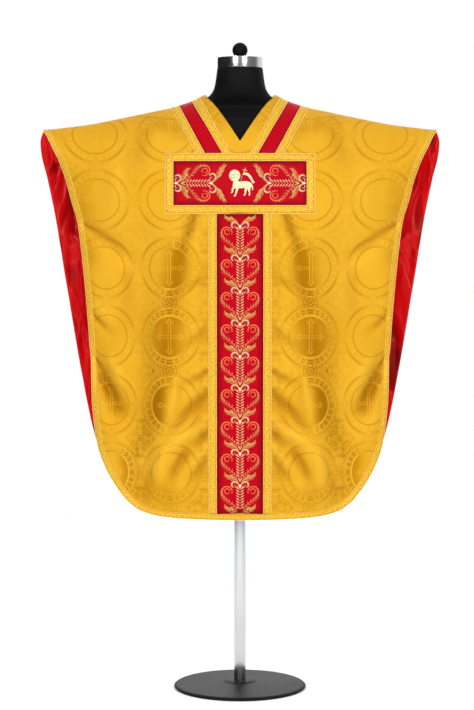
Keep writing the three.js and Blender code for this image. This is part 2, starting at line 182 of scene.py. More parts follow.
studio = {
    "backdrop": (1.0, 1.0, 1.0, 1),
    "backdropStarts": (-0.15, 0.45),  # directions, as shares of a unit length
    "ceiling": 0.3,
    "room": (0.2, 0.2, 0.21, 1),
    "dark": (0.02, 0.02, 0.02, 1),
    "darkLeftOf": (-0.45, 0.1),  # where it ends, and how softly
    "darkBelow": (0.375, 0.125),
    "lights": [  # place, aim, size in metres, watts
        ((-1.5, -3.6, 2.3), (0.0, 0.0, 1.0), 0.9, 62),
        ((1.5, -3.6, 2.3), (0.0, 0.0, 1.0), 0.9, 62),
        ((0.0, 3.6, 2.6), (0.0, 0.0, 1.1), 2.6, 45),
    ],
}


def addStudio():
    world = bpy.data.worlds.new("studio")
    world.use_nodes = True
    nodes = Nodework(world.node_tree)
    way = nodes.add("ShaderNodeTexCoord").outputs["Object"]
    axes = nodes.add("ShaderNodeSeparateXYZ", None, {0: way})
    x, y, z = (nodes.value(axes, number) for number in range(3))
    bright = y.either(z - studio["ceiling"]).ramped(*studio["backdropStarts"])
    tone = nodes.mix(bright, studio["room"], studio["backdrop"])
    dark = x.under(*studio["darkLeftOf"]) * z.under(*studio["darkBelow"])
    tone = nodes.mix(dark, tone, studio["dark"])
    world.node_tree.links.new(tone, world.node_tree.nodes["Background"].inputs["Color"])
    scene.world = world
    scene.view_settings.view_transform = "Standard"
    for number, (place, aim, size, watts) in enumerate(studio["lights"]):
        data = bpy.data.lights.new(f"softbox_{number}", "AREA")
        data.shape = "DISK"
        data.size = size
        data.energy = watts
        light = bpy.data.objects.new(data.name, data)
        light.location = place
        light.rotation_euler = (Vector(aim) - Vector(place)).to_track_quat("-Z", "Y").to_euler()
        scene.collection.objects.link(light)


# the gold brocade

brocadeLook = {
    "pitchAcross": 186.0,
    "pitchDown": 181.5,
    "rowHeight": 963.0,  # one row of medallions hangs at this height
    "ground": linear(218, 161, 32),
    "satin": linear(172, 115, 0),
    "line": linear(150, 96, 0),
    "pale": linear(232, 182, 56),
}

damask = {  # radii in millimetres, and last how softly a band of the pattern ends
    "disc": (53, 0.8),
    "rings": ((54, 58.6, 1.2), (76, 83, 1.8)),
    "halo": ((53.8, 57.4, 0.6), (74, 76, 0.5)),
    "keys": (61, 72.5, 0.7),
    "keyHoles": (64, 69.5, 0.5),
    "keyCount": 26,
    "steps": (84, 86.6, 0.4),
    "stepCount": 52,
    "lobes": ((0, 44, 3.6), (6.2, 38.5, 3.2), (34, 0, 3.2), (29, 5.4, 2.8)),  # centres and radii
    "curls": ((14, 15, 6.2), (27, 9, 4.6), (9, 29, 4.8), (44, 0, 4.2), (0, 49, 4.4)),
    "petals": 8,
}


def distance(x, y, cx=0.0, cy=0.0):
    a = x - cx
    b = y - cy
    return (a * a + b * b).to("SQRT")


def turnAround(x, y, cx=0.0, cy=0.0):
    return (y - cy).to("ARCTAN2", x - cx)


def longCross(x, y):  # with three-lobed ends
    stem = x.within(2.6, 4.4, 0.35) * y.under(37, 0.4)
    arm = y.within(2.2, 3.6, 0.35) * x.under(28, 0.4) * (1 - x.under(4.2, 0.3))
    cross = stem.either(arm)
    for cx, cy, size in damask["lobes"]:
        cross = cross.either(distance(x, y, cx, cy).within(size - 1.3, size, 0.3))
    return cross


def rosette(x, y, cx, cy):  # stands where the rings of two medallions touch
    r = distance(x, y, cx, cy)
    petals = (turnAround(x, y, cx, cy) * damask["petals"]).to("COSINE") * 2.4
    bloom = (r + petals).within(9, 12, 0.5).either(r.within(3, 4.6, 0.4))
    return bloom.either(r.within(18.6, 20.2, 0.4)).either(r.under(1.4))


def floweredDiamond(x, y, outsideRings):  # between four medallions, drawn from its own middle
    r = distance(x, y)
    turn = turnAround(x, y)
    edge = r - (turn * 4).to("COSINE") * 4.5
    diamond = edge.within(36.2, 37.8, 0.35)
    for cx, cy, size in damask["curls"]:
        curl = distance(x, y, cx, cy)
        diamond = diamond.either(curl.within(size - 1.7, size, 0.35)).either(curl.under(1.4, 0.4))
    petals = r - (turn * damask["petals"]).to("COSINE") * 1.8
    diamond = diamond.either(petals.within(6.2, 8.4, 0.5)).either(r.under(2.4, 0.4))
    leaves = (turn * damask["petals"] + r * 0.2).to("SINE").within(0.45, 1.4, 0.2) * r.within(44, 60, 1.2)
    return diamond.either(leaves * outsideRings * 0.7)


def brocadeFinish(name, lift):
    look = brocadeLook
    finish = Finish(name, Specular_IOR_Level=0.25, Specular_Tint=(1.0, 0.72, 0.2, 1))
    across, plain, down = finish.uv("cloth")
    halfAcross = look["pitchAcross"] / 2
    halfDown = look["pitchDown"] / 2
    rowsBelow = 20  # enough for the folded pattern to start below the hem
    x = across.to("PINGPONG", halfAcross)
    y = (down - (look["rowHeight"] + lift - rowsBelow * look["pitchDown"])).to("PINGPONG", halfDown)

    r = distance(x, y)
    turn = turnAround(x, y)
    disc = r.under(*damask["disc"])
    innerRing, outerRing = (r.within(*ring) for ring in damask["rings"])
    rings = innerRing.either(outerRing * (turn * 2).to("SINE") * 1.1)
    innerHalo, outerHalo = (r.within(*ring) for ring in damask["halo"])
    halo = innerHalo.either(outerHalo)
    wave = (turn * damask["keyCount"]).to("SINE")
    keys = wave.within(0.1, 1.4, 0.25) * r.within(*damask["keys"])
    keyHoles = wave.within(0.62, 1.4, 0.12) * r.within(*damask["keyHoles"])
    steps = (turn * damask["stepCount"]).to("SINE").within(0.2, 1.4, 0.25) * r.within(*damask["steps"])
    border = (keys * (1 - keyHoles)).either(steps)

    rosettes = rosette(x, y, halfAcross, 0).either(rosette(x, y, 0, halfDown))
    field = floweredDiamond((x - halfAcross) * -1, (y - halfDown) * -1, 1 - r.under(88, 0.5))
    cross = longCross(x, y)
    fine = border.either(rosettes).either(field) * (1 - disc)
    satin = disc * (1 - cross)
    figure = satin.either(fine)

    play = finish.mark("play")
    hollow = finish.mark("hollow")
    mottle = finish.noise(7.0, 3.0)
    slub = finish.noise(900.0, 1.0, plain)
    grainy = finish.noise(260.0, 3.0, plain, 0.7)
    base = finish.coats(
        look["ground"],
        (mottle.under(0.52, 0.2) * 0.3, look["pale"]),
        # painted shade and light of the satin in the folds: where this mark is high, the ground, satin and
        # lines are darker and the halo and cross paler
        (play * 0.3, look["satin"]),
        (satin * (play + mottle * 0.2 - 0.02), look["satin"]),
        (rings * (0.52 - play * 0.4), look["satin"]),
        (fine * (play * 0.9 + 0.12), look["line"]),
        ((1 - disc) * grainy.under(0.44, 0.06) * (0.14 + play * 0.4), look["line"]),
        (halo * play * 0.7, look["pale"]),
        (cross * disc * (play * 0.55 + 0.1), look["pale"]),
        (slub.under(0.45, 0.2) * 0.12, look["line"]),
        # painted shade in the creases' troughs, and a painted highlight on their ridges
        (hollow.either(0.0) * 0.55, look["line"]),
        ((hollow * -1).either(0.0) * 0.36, look["pale"]),
    )
    twill = ((across + down) * 5.2).to("SINE") * 0.5 + 0.5
    weave = twill * (1 - satin * 0.8) + slub * 0.6
    relief = finish.bump(figure * -1, 0.0005, 0.5)
    normal = finish.bump(weave, 0.00012, 0.55, relief)
    rough = 0.56 - figure * play * 0.08 + slub * 0.05
    gloss = figure * play * 0.12 + 0.12
    return finish.feed(Base_Color=base, Roughness=rough, Metallic=gloss, Normal=normal)


# the red satins, the braid and the thread

# the lining's red; deep is the painted shade in its wrinkles' low places and light the painted highlight on
# their crests
liningLook = {"red": linear(221, 6, 14), "deep": linear(132, 0, 2), "light": linear(234, 34, 38)}


def liningFinish():
    finish = Finish("red_satin_lining", Specular_IOR_Level=0.32, Specular_Tint=(1.0, 0.5, 0.45, 1))
    across, plain = finish.uv("cloth")[:2]
    grain = finish.add("ShaderNodeMapping", None, {"Vector": plain, "Scale": (20.0, 7.5, 1.0)}).outputs[0]
    sockets = {"Vector": grain, "Scale": 1.0, "Detail": 1.6, "Distortion": 0.7}
    crush = finish.value(finish.add("ShaderNodeTexNoise", None, sockets))
    crest = 1 - ((crush - 0.52) * 11).to("ABSOLUTE").to("MINIMUM", 1.0)
    warp = finish.noise(1400.0, 1.0, plain)
    base = finish.coats(
        liningLook["red"],
        # painted shade where the wrinkles lie low, and a painted highlight along their crests
        (crush.under(0.4, 0.1), liningLook["deep"]),
        (crest * crest * 0.4, liningLook["light"]),
    )
    relief = finish.bump(crest * 0.6 + crush * 2, 0.005, 0.55)
    normal = finish.bump(warp + ((across * 9).to("SINE")) * 0.3, 0.00005, 0.4, relief)
    return finish.feed(Base_Color=base, Roughness=0.32 + warp * 0.05 + crush * 0.06, Normal=normal)


# the ribbon's red; deep serves both its thread texture and the painted shade along its edges
ribbonLook = {"red": linear(176, 0, 22), "deep": linear(114, 0, 14), "bright": linear(194, 0, 26)}


def ribbonFinish():
    finish = Finish("red_orphrey_satin", Specular_IOR_Level=0.1, Specular_Tint=(1.0, 0.4, 0.4, 1))
    plain, along = finish.uv("band")[1:]
    rib = (along * 4.4).to("SINE") * 0.5 + 0.5
    thread = finish.noise(1500.0, 1.0, plain)
    cloud = finish.noise(14.0, 2.0)
    base = finish.coats(
        ribbonLook["red"],
        (cloud.under(0.5, 0.25) * 0.5, ribbonLook["bright"]),
        # painted shade along the ribbon's edges, where the raised braid and embroidery shade it
        (finish.mark("rim").under(6.5, 5.5) * 0.8, ribbonLook["deep"]),
        (thread.under(0.45, 0.15) * 0.25, ribbonLook["deep"]),
    )
    normal = finish.bump(rib + thread * 0.8, 0.00012, 0.6)
    rough = 0.42 + thread * 0.1 + rib * 0.05
    return finish.feed(Base_Color=base, Roughness=rough, Normal=normal)


galloonLook = {
    "width": 21.4,  # beside the orphreys and the shoulder band
    "edgeWidth": 15.2,  # along the sides and the hem
    "backInset": 2.2,  # the back's braid stops short of the edge, so it doesn't show from the front
    "wave": 8.4,
    "gold": linear(224, 168, 26),
    "deep": linear(184, 118, 14),
    "pale": linear(252, 222, 104),
    "picot": linear(255, 244, 166),
}


def galloonFinish():
    look = galloonLook
    finish = Finish("gold_galloon", Specular_IOR_Level=0.3, Specular_Tint=(1.0, 0.85, 0.5, 1))
    across, plain, along = finish.uv("band")
    middle = (across - look["width"] / 2).to("ABSOLUTE")
    wave = along.to("PINGPONG", look["wave"])
    lattice = (middle + wave * -0.72).to("ABSOLUTE")
    lozenge = lattice.under(1.0, 0.35) * middle.under(6.8, 0.4)
    knots = (middle * middle + wave * wave).to("SQRT").within(1.2, 2.4, 0.35)
    selvedge = middle.within(8.9, 11.2, 0.3)
    groove = middle.within(7.4, 8.5, 0.3)
    twist = (along * 2.6 + middle * 3).to("SINE") * 0.5 + 0.5
    figure = lozenge.either(knots)
    thread = finish.noise(1200.0, 1.0, plain)
    speckle = finish.noise(300.0, 2.0, plain, 0.7)
    base = finish.coats(
        look["gold"],
        (figure * 0.4, look["pale"]),
        (speckle.under(0.45, 0.05) * 0.75, look["deep"]),
        (speckle.ramped(0.52, 0.6) * 0.55, look["pale"]),
        (groove * (0.4 + twist * 0.3), look["deep"]),
        (selvedge * (0.25 + twist * 0.35), look["pale"]),
        (thread.under(0.45, 0.15) * 0.2, look["deep"]),
    )
    height = figure + selvedge * (0.6 + twist * 0.5) + thread * 0.4 - groove * 0.7
    normal = finish.bump(height, 0.0006, 0.7)
    rough = 0.46 - figure * 0.1 + thread * 0.12
    return finish.feed(Base_Color=base, Roughness=rough, Metallic=figure * 0.15 + 0.1, Normal=normal)


def picotFinish():
    finish = Finish("galloon_picot", Specular_IOR_Level=0.3)
    grain = finish.noise(900.0, 2.0)
    base = finish.mix(grain.under(0.5, 0.2) * 0.4, galloonLook["picot"], galloonLook["pale"])
    normal = finish.bump(grain, 0.0001, 0.5)
    return finish.feed(Base_Color=base, Roughness=0.4 + grain * 0.15, Normal=normal)


def threadFinish():
    finish = Finish("embroidery_thread", Sheen_Weight=0.2, Specular_IOR_Level=0.55)
    colour = finish.add("ShaderNodeAttribute", {"attribute_name": "thread"}).outputs["Color"]
    along = finish.uv("stitch")[2]
    ply = (along * 7.0).to("SINE") * 0.5 + 0.5
    grain = finish.noise(1100.0, 2.0)
    dark = finish.add("ShaderNodeVectorMath", {"operation": "SCALE"}, {0: colour, "Scale": 0.62}).outputs[0]
    base = finish.coats(colour, (grain.under(0.48, 0.14) * 0.35, dark), ((1 - ply) * 0.3, dark))
    normal = finish.bump(ply + grain * 0.5, 0.0002, 0.7)
    return finish.feed(Base_Color=base, Roughness=0.36 + grain * 0.16, Normal=normal)


# the form's finishes


def shellFinish(name, colour, scale, rough):
    finish = Finish(name, Specular_IOR_Level=0.09)
    grain = finish.noise(scale, 2.0)
    wear = finish.noise(5.0, 4.0)
    base = finish.mix(wear.under(0.5, 0.2) * 0.25, colour, tuple(c * 1.6 for c in colour[:3]) + (1,))
    normal = finish.bump(grain, 0.00015, 0.5)
    return finish.feed(Base_Color=base, Roughness=rough + wear * 0.12 + grain * 0.05, Normal=normal)


def metalFinish(bright, dull):
    finish = Finish("polished_chrome", Metallic=1.0)
    haze = finish.noise(9.0, 4.0)
    brush = finish.noise(700.0, 1.0)
    base = finish.mix(haze.under(0.5, 0.2) * 0.3, bright, dull)
    normal = finish.bump(brush, 0.00002, 0.4)
    return finish.feed(Base_Color=base, Roughness=0.1 + haze * 0.1 + brush * 0.04, Normal=normal)


# the drape, in millimetres: x across the garment and run down it from the shoulder fold

drapePlan = {
    "shoulder": ((0, 1611), (95, 1604), (120, 1590), (162, 1575), (227, 1561), (313, 1543), (400, 1526),
                 (486, 1515), (545, 1508)),
    "front": ((0, 138), (150, 134), (250, 118), (350, 92), (450, 62), (545, 36)),
    "back": ((0, 120), (150, 118), (250, 104), (350, 84), (450, 60), (545, 36)),
    "roll": ((0, 60), (150, 60), (250, 57), (350, 46), (450, 31), (545, 17)),
    "seam": ((60, 40), (91, 40), (128, 64), (166, 76), (240, 42), (300, 20), (356, 10), (545, 6)),
    "frontSide": ((1508, 529), (1497, 518), (1462, 499), (1430, 482), (1376, 462), (1322, 448), (1269, 433),
                  (1189, 421), (1056, 408), (923, 399), (790, 394), (710, 386), (658, 376), (606, 355),
                  (560, 328), (525, 301)),
    "backSide": ((1508, 529), (1486, 538), (1459, 538), (1432, 534), (1378, 520), (1269, 499), (1187, 486),
                 (1051, 465), (914, 443), (777, 419), (694, 401), (638, 384), (590, 363), (548, 335),
                 (511, 301)),
    "frontHem": ((0, 477), (80, 478), (150, 481), (200, 485), (239, 492), (272, 504), (301, 525)),
    "backHem": ((0, 468), (80, 469), (150, 473), (200, 474), (240, 480), (272, 491), (301, 511)),
    "corner": 301,
    "neckPoint": 1478,
    "tip": 528,
    "neckLine": (91, 18),  # the edge of the neck, at the shoulder fold and at the crossbar
    "backNeck": 88,
    "frameTop": 1445,
    "frameBottom": 1287.5,
    "aboveHem": (600, 720),  # over these heights the sides become straight
    "belowTip": (-1480, -1400),  # and over these, with their sign turned, they stop being so
}

# what holds folds and creases back: the stiff column and crossbar, and the fold of the shoulder
heldPlan = {
    "column": 84,  # a little over half the column's width with its galloon
    "foldsAtBar": 215,  # half the width that the crossbar keeps free of folds
    "creasesAtBar": 202,
    "foldsOpen": 110,  # how far below the crossbar they still widen
    "creasesOpen": (12, 4),
    "backCreases": 8,
    "foldsEase": (10, 50),  # a little inside these half widths they start, and outside they are whole
    "creasesEase": (3, 12),
    "shoulder": (30, 160),  # how far below the shoulder's fold they start and are whole
    "curl": 10,  # the front's side edges curl in this far
    "curlWidth": (34, 10),
}

crinklePlan = {"height": 2.3, "strip": (372, 418), "aboveHem": (600, 740), "belowTip": (-1490, -1420)}

# folds: from x, z to x, z, how far they stand out, and half their width
frontFolds = (
    (138, 1270, 205, 960, 11, 42),
    (205, 960, 196, 560, 15, 46),
    (262, 1210, 276, 560, -11, 40),
    (430, 1282, 300, 1180, -8, 30),
    (384, 905, 322, 765, -16, 30),
    (112, 812, 160, 590, -9, 26),
)
backFolds = (
    (150, 1250, 172, 520, 12, 44),
    (60, 1080, 74, 500, -8, 36),
    (250, 1180, 262, 540, -12, 40),
    (352, 1060, 330, 640, 9, 38),
    (470, 1230, 340, 1120, -8, 30),
)

# creases: from x, z to x, z, how far they stand out, half their width where they start, and their bend
frontCreases = (
    (414, 1260, 282, 1166, -8.5, 9, 5),
    (404, 1286, 330, 1226, 2.5, 15, 4),
    (388, 1018, 342, 974, -8.5, 8, -3),
    (388, 1042, 330, 1000, 3.5, 12, 0),
    (386, 902, 350, 848, -9.0, 8, -3),
    (368, 850, 322, 768, -12.0, 13, 5),
    (350, 900, 306, 800, 6.0, 14, 4),
    (86, 1120, 158, 1084, -5.0, 10, 0),
    (88, 994, 160, 924, -5.5, 10, 5),
    (86, 874, 152, 840, -8.0, 9, 4),
    (86, 894, 146, 862, 4.0, 11, 4),
    (84, 818, 190, 692, -9.5, 12, -6),
    (82, 840, 150, 792, 4.5, 10, -3),
    (82, 744, 216, 636, 11.0, 14, -4),
    (206, 650, 242, 566, 7.5, 13, 3),
    (84, 712, 154, 640, -11.0, 11, -5),
    (146, 650, 192, 556, -9.5, 13, -4),
    (86, 672, 150, 590, 6.5, 11, -4),
    (92, 634, 140, 558, -8.0, 10, -4),
    (112, 700, 150, 610, 4.0, 10, -3),
    (122, 1282, 156, 1190, -8.0, 10, 2),
    (150, 1200, 196, 960, -6.5, 18, 3),
    (196, 980, 214, 800, -5.0, 20, 3),
    (168, 846, 200, 716, 8.0, 12, 3),
    (220, 820, 262, 690, -4.5, 20, 3),
    (92, 1010, 150, 962, 3.5, 11, 4),
    (300, 1120, 318, 940, -3.5, 22, 8),
    (330, 1400, 352, 1250, 4.5, 24, 8),
    (250, 1500, 300, 1400, -4.5, 22, 6),
    (262, 650, 300, 580, 6.0, 14, 4),
    (238, 600, 262, 530, -6.0, 14, 2),
)
backCreases = (
    (452, 1228, 348, 1134, -7.0, 10, 6),
    (446, 1256, 356, 1176, 3.5, 14, 5),
    (410, 934, 346, 812, -7.5, 11, 4),
    (392, 962, 326, 842, 4.5, 14, 4),
    (30, 776, 62, 590, 5.0, 14, 6),
    (110, 916, 124, 560, -6.5, 14, -5),
    (205, 770, 216, 536, -6.5, 13, 5),
    (300, 1336, 324, 1120, 4.0, 22, 7),
    (118, 1484, 184, 1352, -4.5, 18, 6),
    (66, 706, 134, 590, -6.0, 11, -5),
    (20, 1210, 44, 940, -4.5, 16, 6),
    (168, 1010, 182, 700, 5.0, 15, -4),
    (286, 640, 240, 560, -5.0, 12, 3),
)

# where the damask's satin figure gets painted shade, for the satin turned from the light in the folds, and a
# little more gloss: from x, z to x, z, how strongly, and half the width
frontPaintedShadeAndGloss = (
    (121, 1284, 160, 1186, 1.0, 13),
    (162, 1180, 190, 1010, 1.0, 28),
    (184, 1010, 200, 880, 0.95, 38),
    (208, 880, 228, 740, 1.0, 26),
    (228, 740, 286, 640, 0.85, 30),
    (286, 640, 292, 560, 0.9, 26),
    (88, 1240, 94, 560, 0.4, 18),
    (368, 858, 330, 772, 0.9, 20),
    (60, 520, 290, 546, 0.5, 26),
    (250, 1540, 140, 1500, 0.35, 22),
    (420, 1400, 400, 1180, 0.25, 24),
    (92, 1590, 60, 1530, 0.45, 22),
)
backPaintedShadeAndGloss = (
    (60, 1240, 84, 860, 0.85, 26),
    (84, 860, 66, 520, 0.75, 30),
    (236, 1180, 262, 720, 0.9, 30),
    (262, 720, 250, 540, 0.7, 34),
    (420, 1200, 352, 1120, 0.5, 24),
    (20, 560, 280, 560, 0.35, 30),
    (0, 1430, 160, 1450, 0.4, 30),
)


def smoothCurve(rows):
    xs, ys = np.array(sorted(rows), dtype=float).T
    low = np.maximum(np.arange(len(xs)) - 1, 0)
    high = np.minimum(np.arange(len(xs)) + 1, len(xs) - 1)
    slopes = (ys[high] - ys[low]) / (xs[high] - xs[low])

    def at(x):
        i = np.clip(np.searchsorted(xs, x, side="right") - 1, 0, len(xs) - 2)
        width = xs[i + 1] - xs[i]
        t = np.clip((x - xs[i]) / width, 0, 1)
        s = t * t * (3 - 2 * t)
        bend = slopes[i] * t * (1 - t) ** 2 - slopes[i + 1] * t * t * (1 - t)
        return ys[i] * (1 - s) + ys[i + 1] * s + bend * width

    return at


ridgeHeight = smoothCurve(drapePlan["shoulder"])
frontDepth = smoothCurve(drapePlan["front"])
backDepth = smoothCurve(drapePlan["back"])
rollRadius = smoothCurve(drapePlan["roll"])
seamRun = smoothCurve(drapePlan["seam"])


def smoothStep(value, low, high):
    t = np.clip((value - low) / (high - low), 0, 1)
    return t * t * (3 - 2 * t)


def dropOf(x, run):
    roll = rollRadius(np.abs(x))
    return np.hypot(run, roll) - roll


def runOf(x, drop):
    return np.sqrt(np.maximum(drop * drop + 2 * rollRadius(np.abs(x)) * drop, 0))


def foldLift(folds, x, z):
    lift = np.zeros_like(x)
    for fromX, fromZ, toX, toZ, rise, width in folds:
        alongX, alongZ = toX - fromX, toZ - fromZ
        share = ((x - fromX) * alongX + (z - fromZ) * alongZ) / (alongX**2 + alongZ**2)
        near = np.clip(share, 0, 1)
        away = np.hypot(x - fromX - near * alongX, z - fromZ - near * alongZ)
        lift += rise * np.exp(-((away / width) ** 2))
    return lift


def creaseLift(creases, x, z):  # each widens and fades along its length
    lift = np.zeros_like(x)
    for fromX, fromZ, toX, toZ, rise, width, bend in creases:
        alongX, alongZ = toX - fromX, toZ - fromZ
        length = math.hypot(alongX, alongZ)
        share = ((x - fromX) * alongX + (z - fromZ) * alongZ) / length**2
        near = np.clip(share, 0, 1)
        aside = ((x - fromX) * alongZ - (z - fromZ) * alongX) / length - bend * np.sin(math.pi * near)
        away = np.hypot(aside, (share - near) * length) / (width * (0.8 + 0.8 * near))
        lift += rise * (1 - 0.75 * smoothStep(near, 0.35, 1.0)) * np.exp(-(away**2))
    return lift


def paintedShadeAndGlossOf(x, run):  # 0 where the satin figure has no painted shade, 1 where its painted shade is strongest
    side = np.abs(x)
    z = ridgeHeight(side) - dropOf(x, run)
    front, back = (1 - np.prod([1 - foldLift([row], side, z) for row in zone], axis=0)
                   for zone in (frontPaintedShadeAndGloss, backPaintedShadeAndGloss))
    return np.where(run > 0, front, back)


deepCrease = 8.5  # a trough of this depth is painted with the full shade


def paintedCreaseShadingOf(x, run):  # painted shading: above 0 in the creases' troughs, which get painted shade, and below 0 on their ridges, which get a painted highlight
    side = np.abs(x)
    z = ridgeHeight(side) - dropOf(x, run)
    lift = np.where(run > 0, creaseLift(frontCreases, side, z), creaseLift(backCreases, side, z))
    return np.clip(-lift / deepCrease, -1, 1)


def crinkle(x, z):  # short wrinkles of the lined edge of the back
    # waves of three lengths: how the wrinkles wander, the ripple itself, and where it fades
    wander = 9 * np.sin(z / 61 + 0.6) + 6 * np.sin(z / 27 + x / 90)
    ripple = np.sin((x + wander) / 5.6) * 0.55 + np.sin((x - wander * 0.7) / 9.1 + z / 83) * 0.8
    fade = 0.55 + 0.45 * np.sin(z / 47 + x / 31)
    plan = crinklePlan
    ends = smoothStep(z, *plan["aboveHem"]) * smoothStep(-z, *plan["belowTip"])
    return plan["height"] * ripple * fade * smoothStep(x, *plan["strip"]) * ends


frontEdge = smoothCurve(drapePlan["frontSide"])


def alongSide(z):  # 1 down the straight part of the sides, 0 at the sleeve's tip and at the hem
    return smoothStep(z, *drapePlan["aboveHem"]) * smoothStep(-z, *drapePlan["belowTip"])


def drape(x, run):
    side = np.abs(x)
    drop = dropOf(x, run)
    z = ridgeHeight(side) - drop
    onFront = run > 0
    depth = np.where(onFront, frontDepth(side), backDepth(side))
    left = np.maximum(1 - drop * rollRadius(side) / depth**2, 0)
    column, barBottom = heldPlan["column"], drapePlan["frameBottom"]
    below = smoothStep(drop, *heldPlan["shoulder"])
    barShare = smoothStep(z, barBottom - heldPlan["foldsOpen"], barBottom)
    half = np.where(onFront, column + (heldPlan["foldsAtBar"] - column) * barShare, 0)
    loose = smoothStep(side, half - heldPlan["foldsEase"][0], half + heldPlan["foldsEase"][1]) * below
    openFrom, openTo = barBottom - heldPlan["creasesOpen"][0], barBottom + heldPlan["creasesOpen"][1]
    barShare = np.where(onFront, smoothStep(z, openFrom, openTo), 0)
    edge = np.where(onFront, column + (heldPlan["creasesAtBar"] - column) * barShare, heldPlan["backCreases"])
    free = smoothStep(side, edge - heldPlan["creasesEase"][0], edge + heldPlan["creasesEase"][1]) * below
    curlFrom, curlTo = frontEdge(z) - heldPlan["curlWidth"][0], frontEdge(z) + heldPlan["curlWidth"][1]
    curl = heldPlan["curl"] * smoothStep(side, curlFrom, curlTo) * alongSide(z)
    frontLift = creaseLift(frontCreases, side, z) * free - curl
    backLift = creaseLift(backCreases, side, z) * free + crinkle(side, z)
    lift = np.where(onFront, foldLift(frontFolds, side, z), foldLift(backFolds, side, z))
    out = depth * np.sqrt(1 - left**2) + lift * loose + np.where(onFront, frontLift, backLift)
    return np.stack([x, np.where(onFront, -out, out), z], axis=-1)


def onCloth(points, offset):  # cloth points [x, run] to places in metres, offset along the cloth's normal
    x, run = points[..., 0], points[..., 1]
    across = drape(x + 1.0, run) - drape(x - 1.0, run)
    down = drape(x, run + 1.0) - drape(x, run - 1.0)
    normal = np.cross(down, across)
    normal /= np.linalg.norm(normal, axis=-1, keepdims=True)
    return (drape(x, run) + normal * np.asarray(offset)[..., None]) * mm


def atHeight(x, z, way=1):
    x, z = np.broadcast_arrays(np.asarray(x, dtype=float), np.asarray(z, dtype=float))
    return np.stack([x, way * runOf(x, ridgeHeight(np.abs(x)) - z)], axis=-1)


def evenly(path, count):  # the path again, as count points an equal length apart
    steps = np.hypot(*np.diff(path, axis=0).T)
    length = np.concatenate([[0], np.cumsum(steps)])
    wanted = np.linspace(0, length[-1], count)
    return np.stack([np.interp(wanted, length, path[:, axis]) for axis in (0, 1)], axis=-1)


def insetPath(path, width):
    turn = np.gradient(path, axis=0)
    turn /= np.hypot(*turn.T)[:, None]
    return path + np.stack([-turn[:, 1], turn[:, 0]], axis=-1) * width


def mirroredPath(path):
    return np.concatenate([path, path[-2::-1] * (-1, 1)])


# outlines of the panels

pathPoints = {"side": 500, "hem": 220, "neckFront": 90, "neckBack": 70, "seam": 300, "slant": 60}
settling = {"side": 14, "line": 10, "seam": 8}  # rounds in which a path finds its place on the drape


def sidePath(table, way):
    sideAt = smoothCurve(table)
    tipRun = float(seamRun(np.array(float(drapePlan["tip"]))))
    lowX, lowZ = drapePlan["corner"], table[-1][0]
    lowRun = way * float(runOf(np.array(float(lowX)), ridgeHeight(lowX) - lowZ))
    run = np.linspace(tipRun, lowRun, pathPoints["side"])
    x = np.full_like(run, 480.0)  # a first guess
    for turn in range(settling["side"]):
        x = sideAt(ridgeHeight(x) - dropOf(x, run))
    x[0] = drapePlan["tip"]
    return np.stack([x, run], axis=-1)


def hemPath(table, way):
    height = smoothCurve(table)
    x = np.linspace(drapePlan["corner"], 0, pathPoints["hem"])
    return atHeight(x, height(x), way)


def onLine(ridge, bar, run):
    top = ridgeHeight(ridge)
    x = np.full_like(run, float(ridge))
    for turn in range(settling["line"]):
        z = ridgeHeight(x) - dropOf(x, run)
        x = bar + (ridge - bar) * (z - drapePlan["frameTop"]) / (top - drapePlan["frameTop"])
    return np.stack([x, run], axis=-1)


def neckPath(ridge, bar):  # from the crossbar, over the shoulder and round the back of the neck
    low = atHeight(bar, drapePlan["frameTop"])[1]
    front = onLine(ridge, bar, np.linspace(low, 0, pathPoints["neckFront"]))
    turn = np.linspace(0, math.pi / 2, pathPoints["neckBack"])[1:]
    deep = drapePlan["backNeck"] + ridge - drapePlan["neckLine"][0]
    behind = np.stack([ridge * np.cos(turn), -deep * np.sin(turn)], axis=-1)
    behind[-1, 0] = 0
    return np.concatenate([front, behind])


def seamPath():
    run = np.array([40.0])  # a first guess
    for turn in range(settling["seam"]):
        start = onLine(*drapePlan["neckLine"], run)
        run = seamRun(start[:, 0])
    x = np.linspace(start[0, 0], drapePlan["tip"], pathPoints["seam"])
    return np.stack([x, seamRun(x)], axis=-1)


def blended(top, side, hem, columns, rows):  # one half of a panel from its outline, as rows of cloth points
    u = np.linspace(0, 1, columns)[None, :, None]
    v = np.linspace(0, 1, rows)[:, None, None]
    t, b = top[None], hem[None]
    r = side[:, None]
    left = t[:, :1] * (1 - v) + b[:, :1] * v
    corners = (t[:, :1] * (1 - u) + t[:, -1:] * u) * (1 - v) + (b[:, :1] * (1 - u) + b[:, -1:] * u) * v
    half = left * (1 - u) + r * u + t * (1 - v) + b * v - corners
    return np.concatenate([half[:, :0:-1] * (-1, 1), half], axis=1)


# points of half a panel, and how its grid is untangled
panelMesh = {"columns": 84, "rows": 170, "turns": 120, "ease": 0.9}


def untangled(points):  # moves the points inside the outline, for a set number of rounds, to undo cells folded over
    for turn in range(panelMesh["turns"]):
        right, left, below, above = points[1:-1, 2:], points[1:-1, :-2], points[2:, 1:-1], points[:-2, 1:-1]
        across, down = (right - left) / 2, (below - above) / 2
        a = (down**2).sum(-1, keepdims=True)
        b = (across * down).sum(-1, keepdims=True)
        c = (across**2).sum(-1, keepdims=True)
        skew = (points[2:, 2:] - points[2:, :-2] - points[:-2, 2:] + points[:-2, :-2]) / 4
        wanted = (a * (right + left) + c * (below + above) - 2 * b * skew) / (2 * (a + c))
        points[1:-1, 1:-1] += (wanted - points[1:-1, 1:-1]) * panelMesh["ease"]
    return points


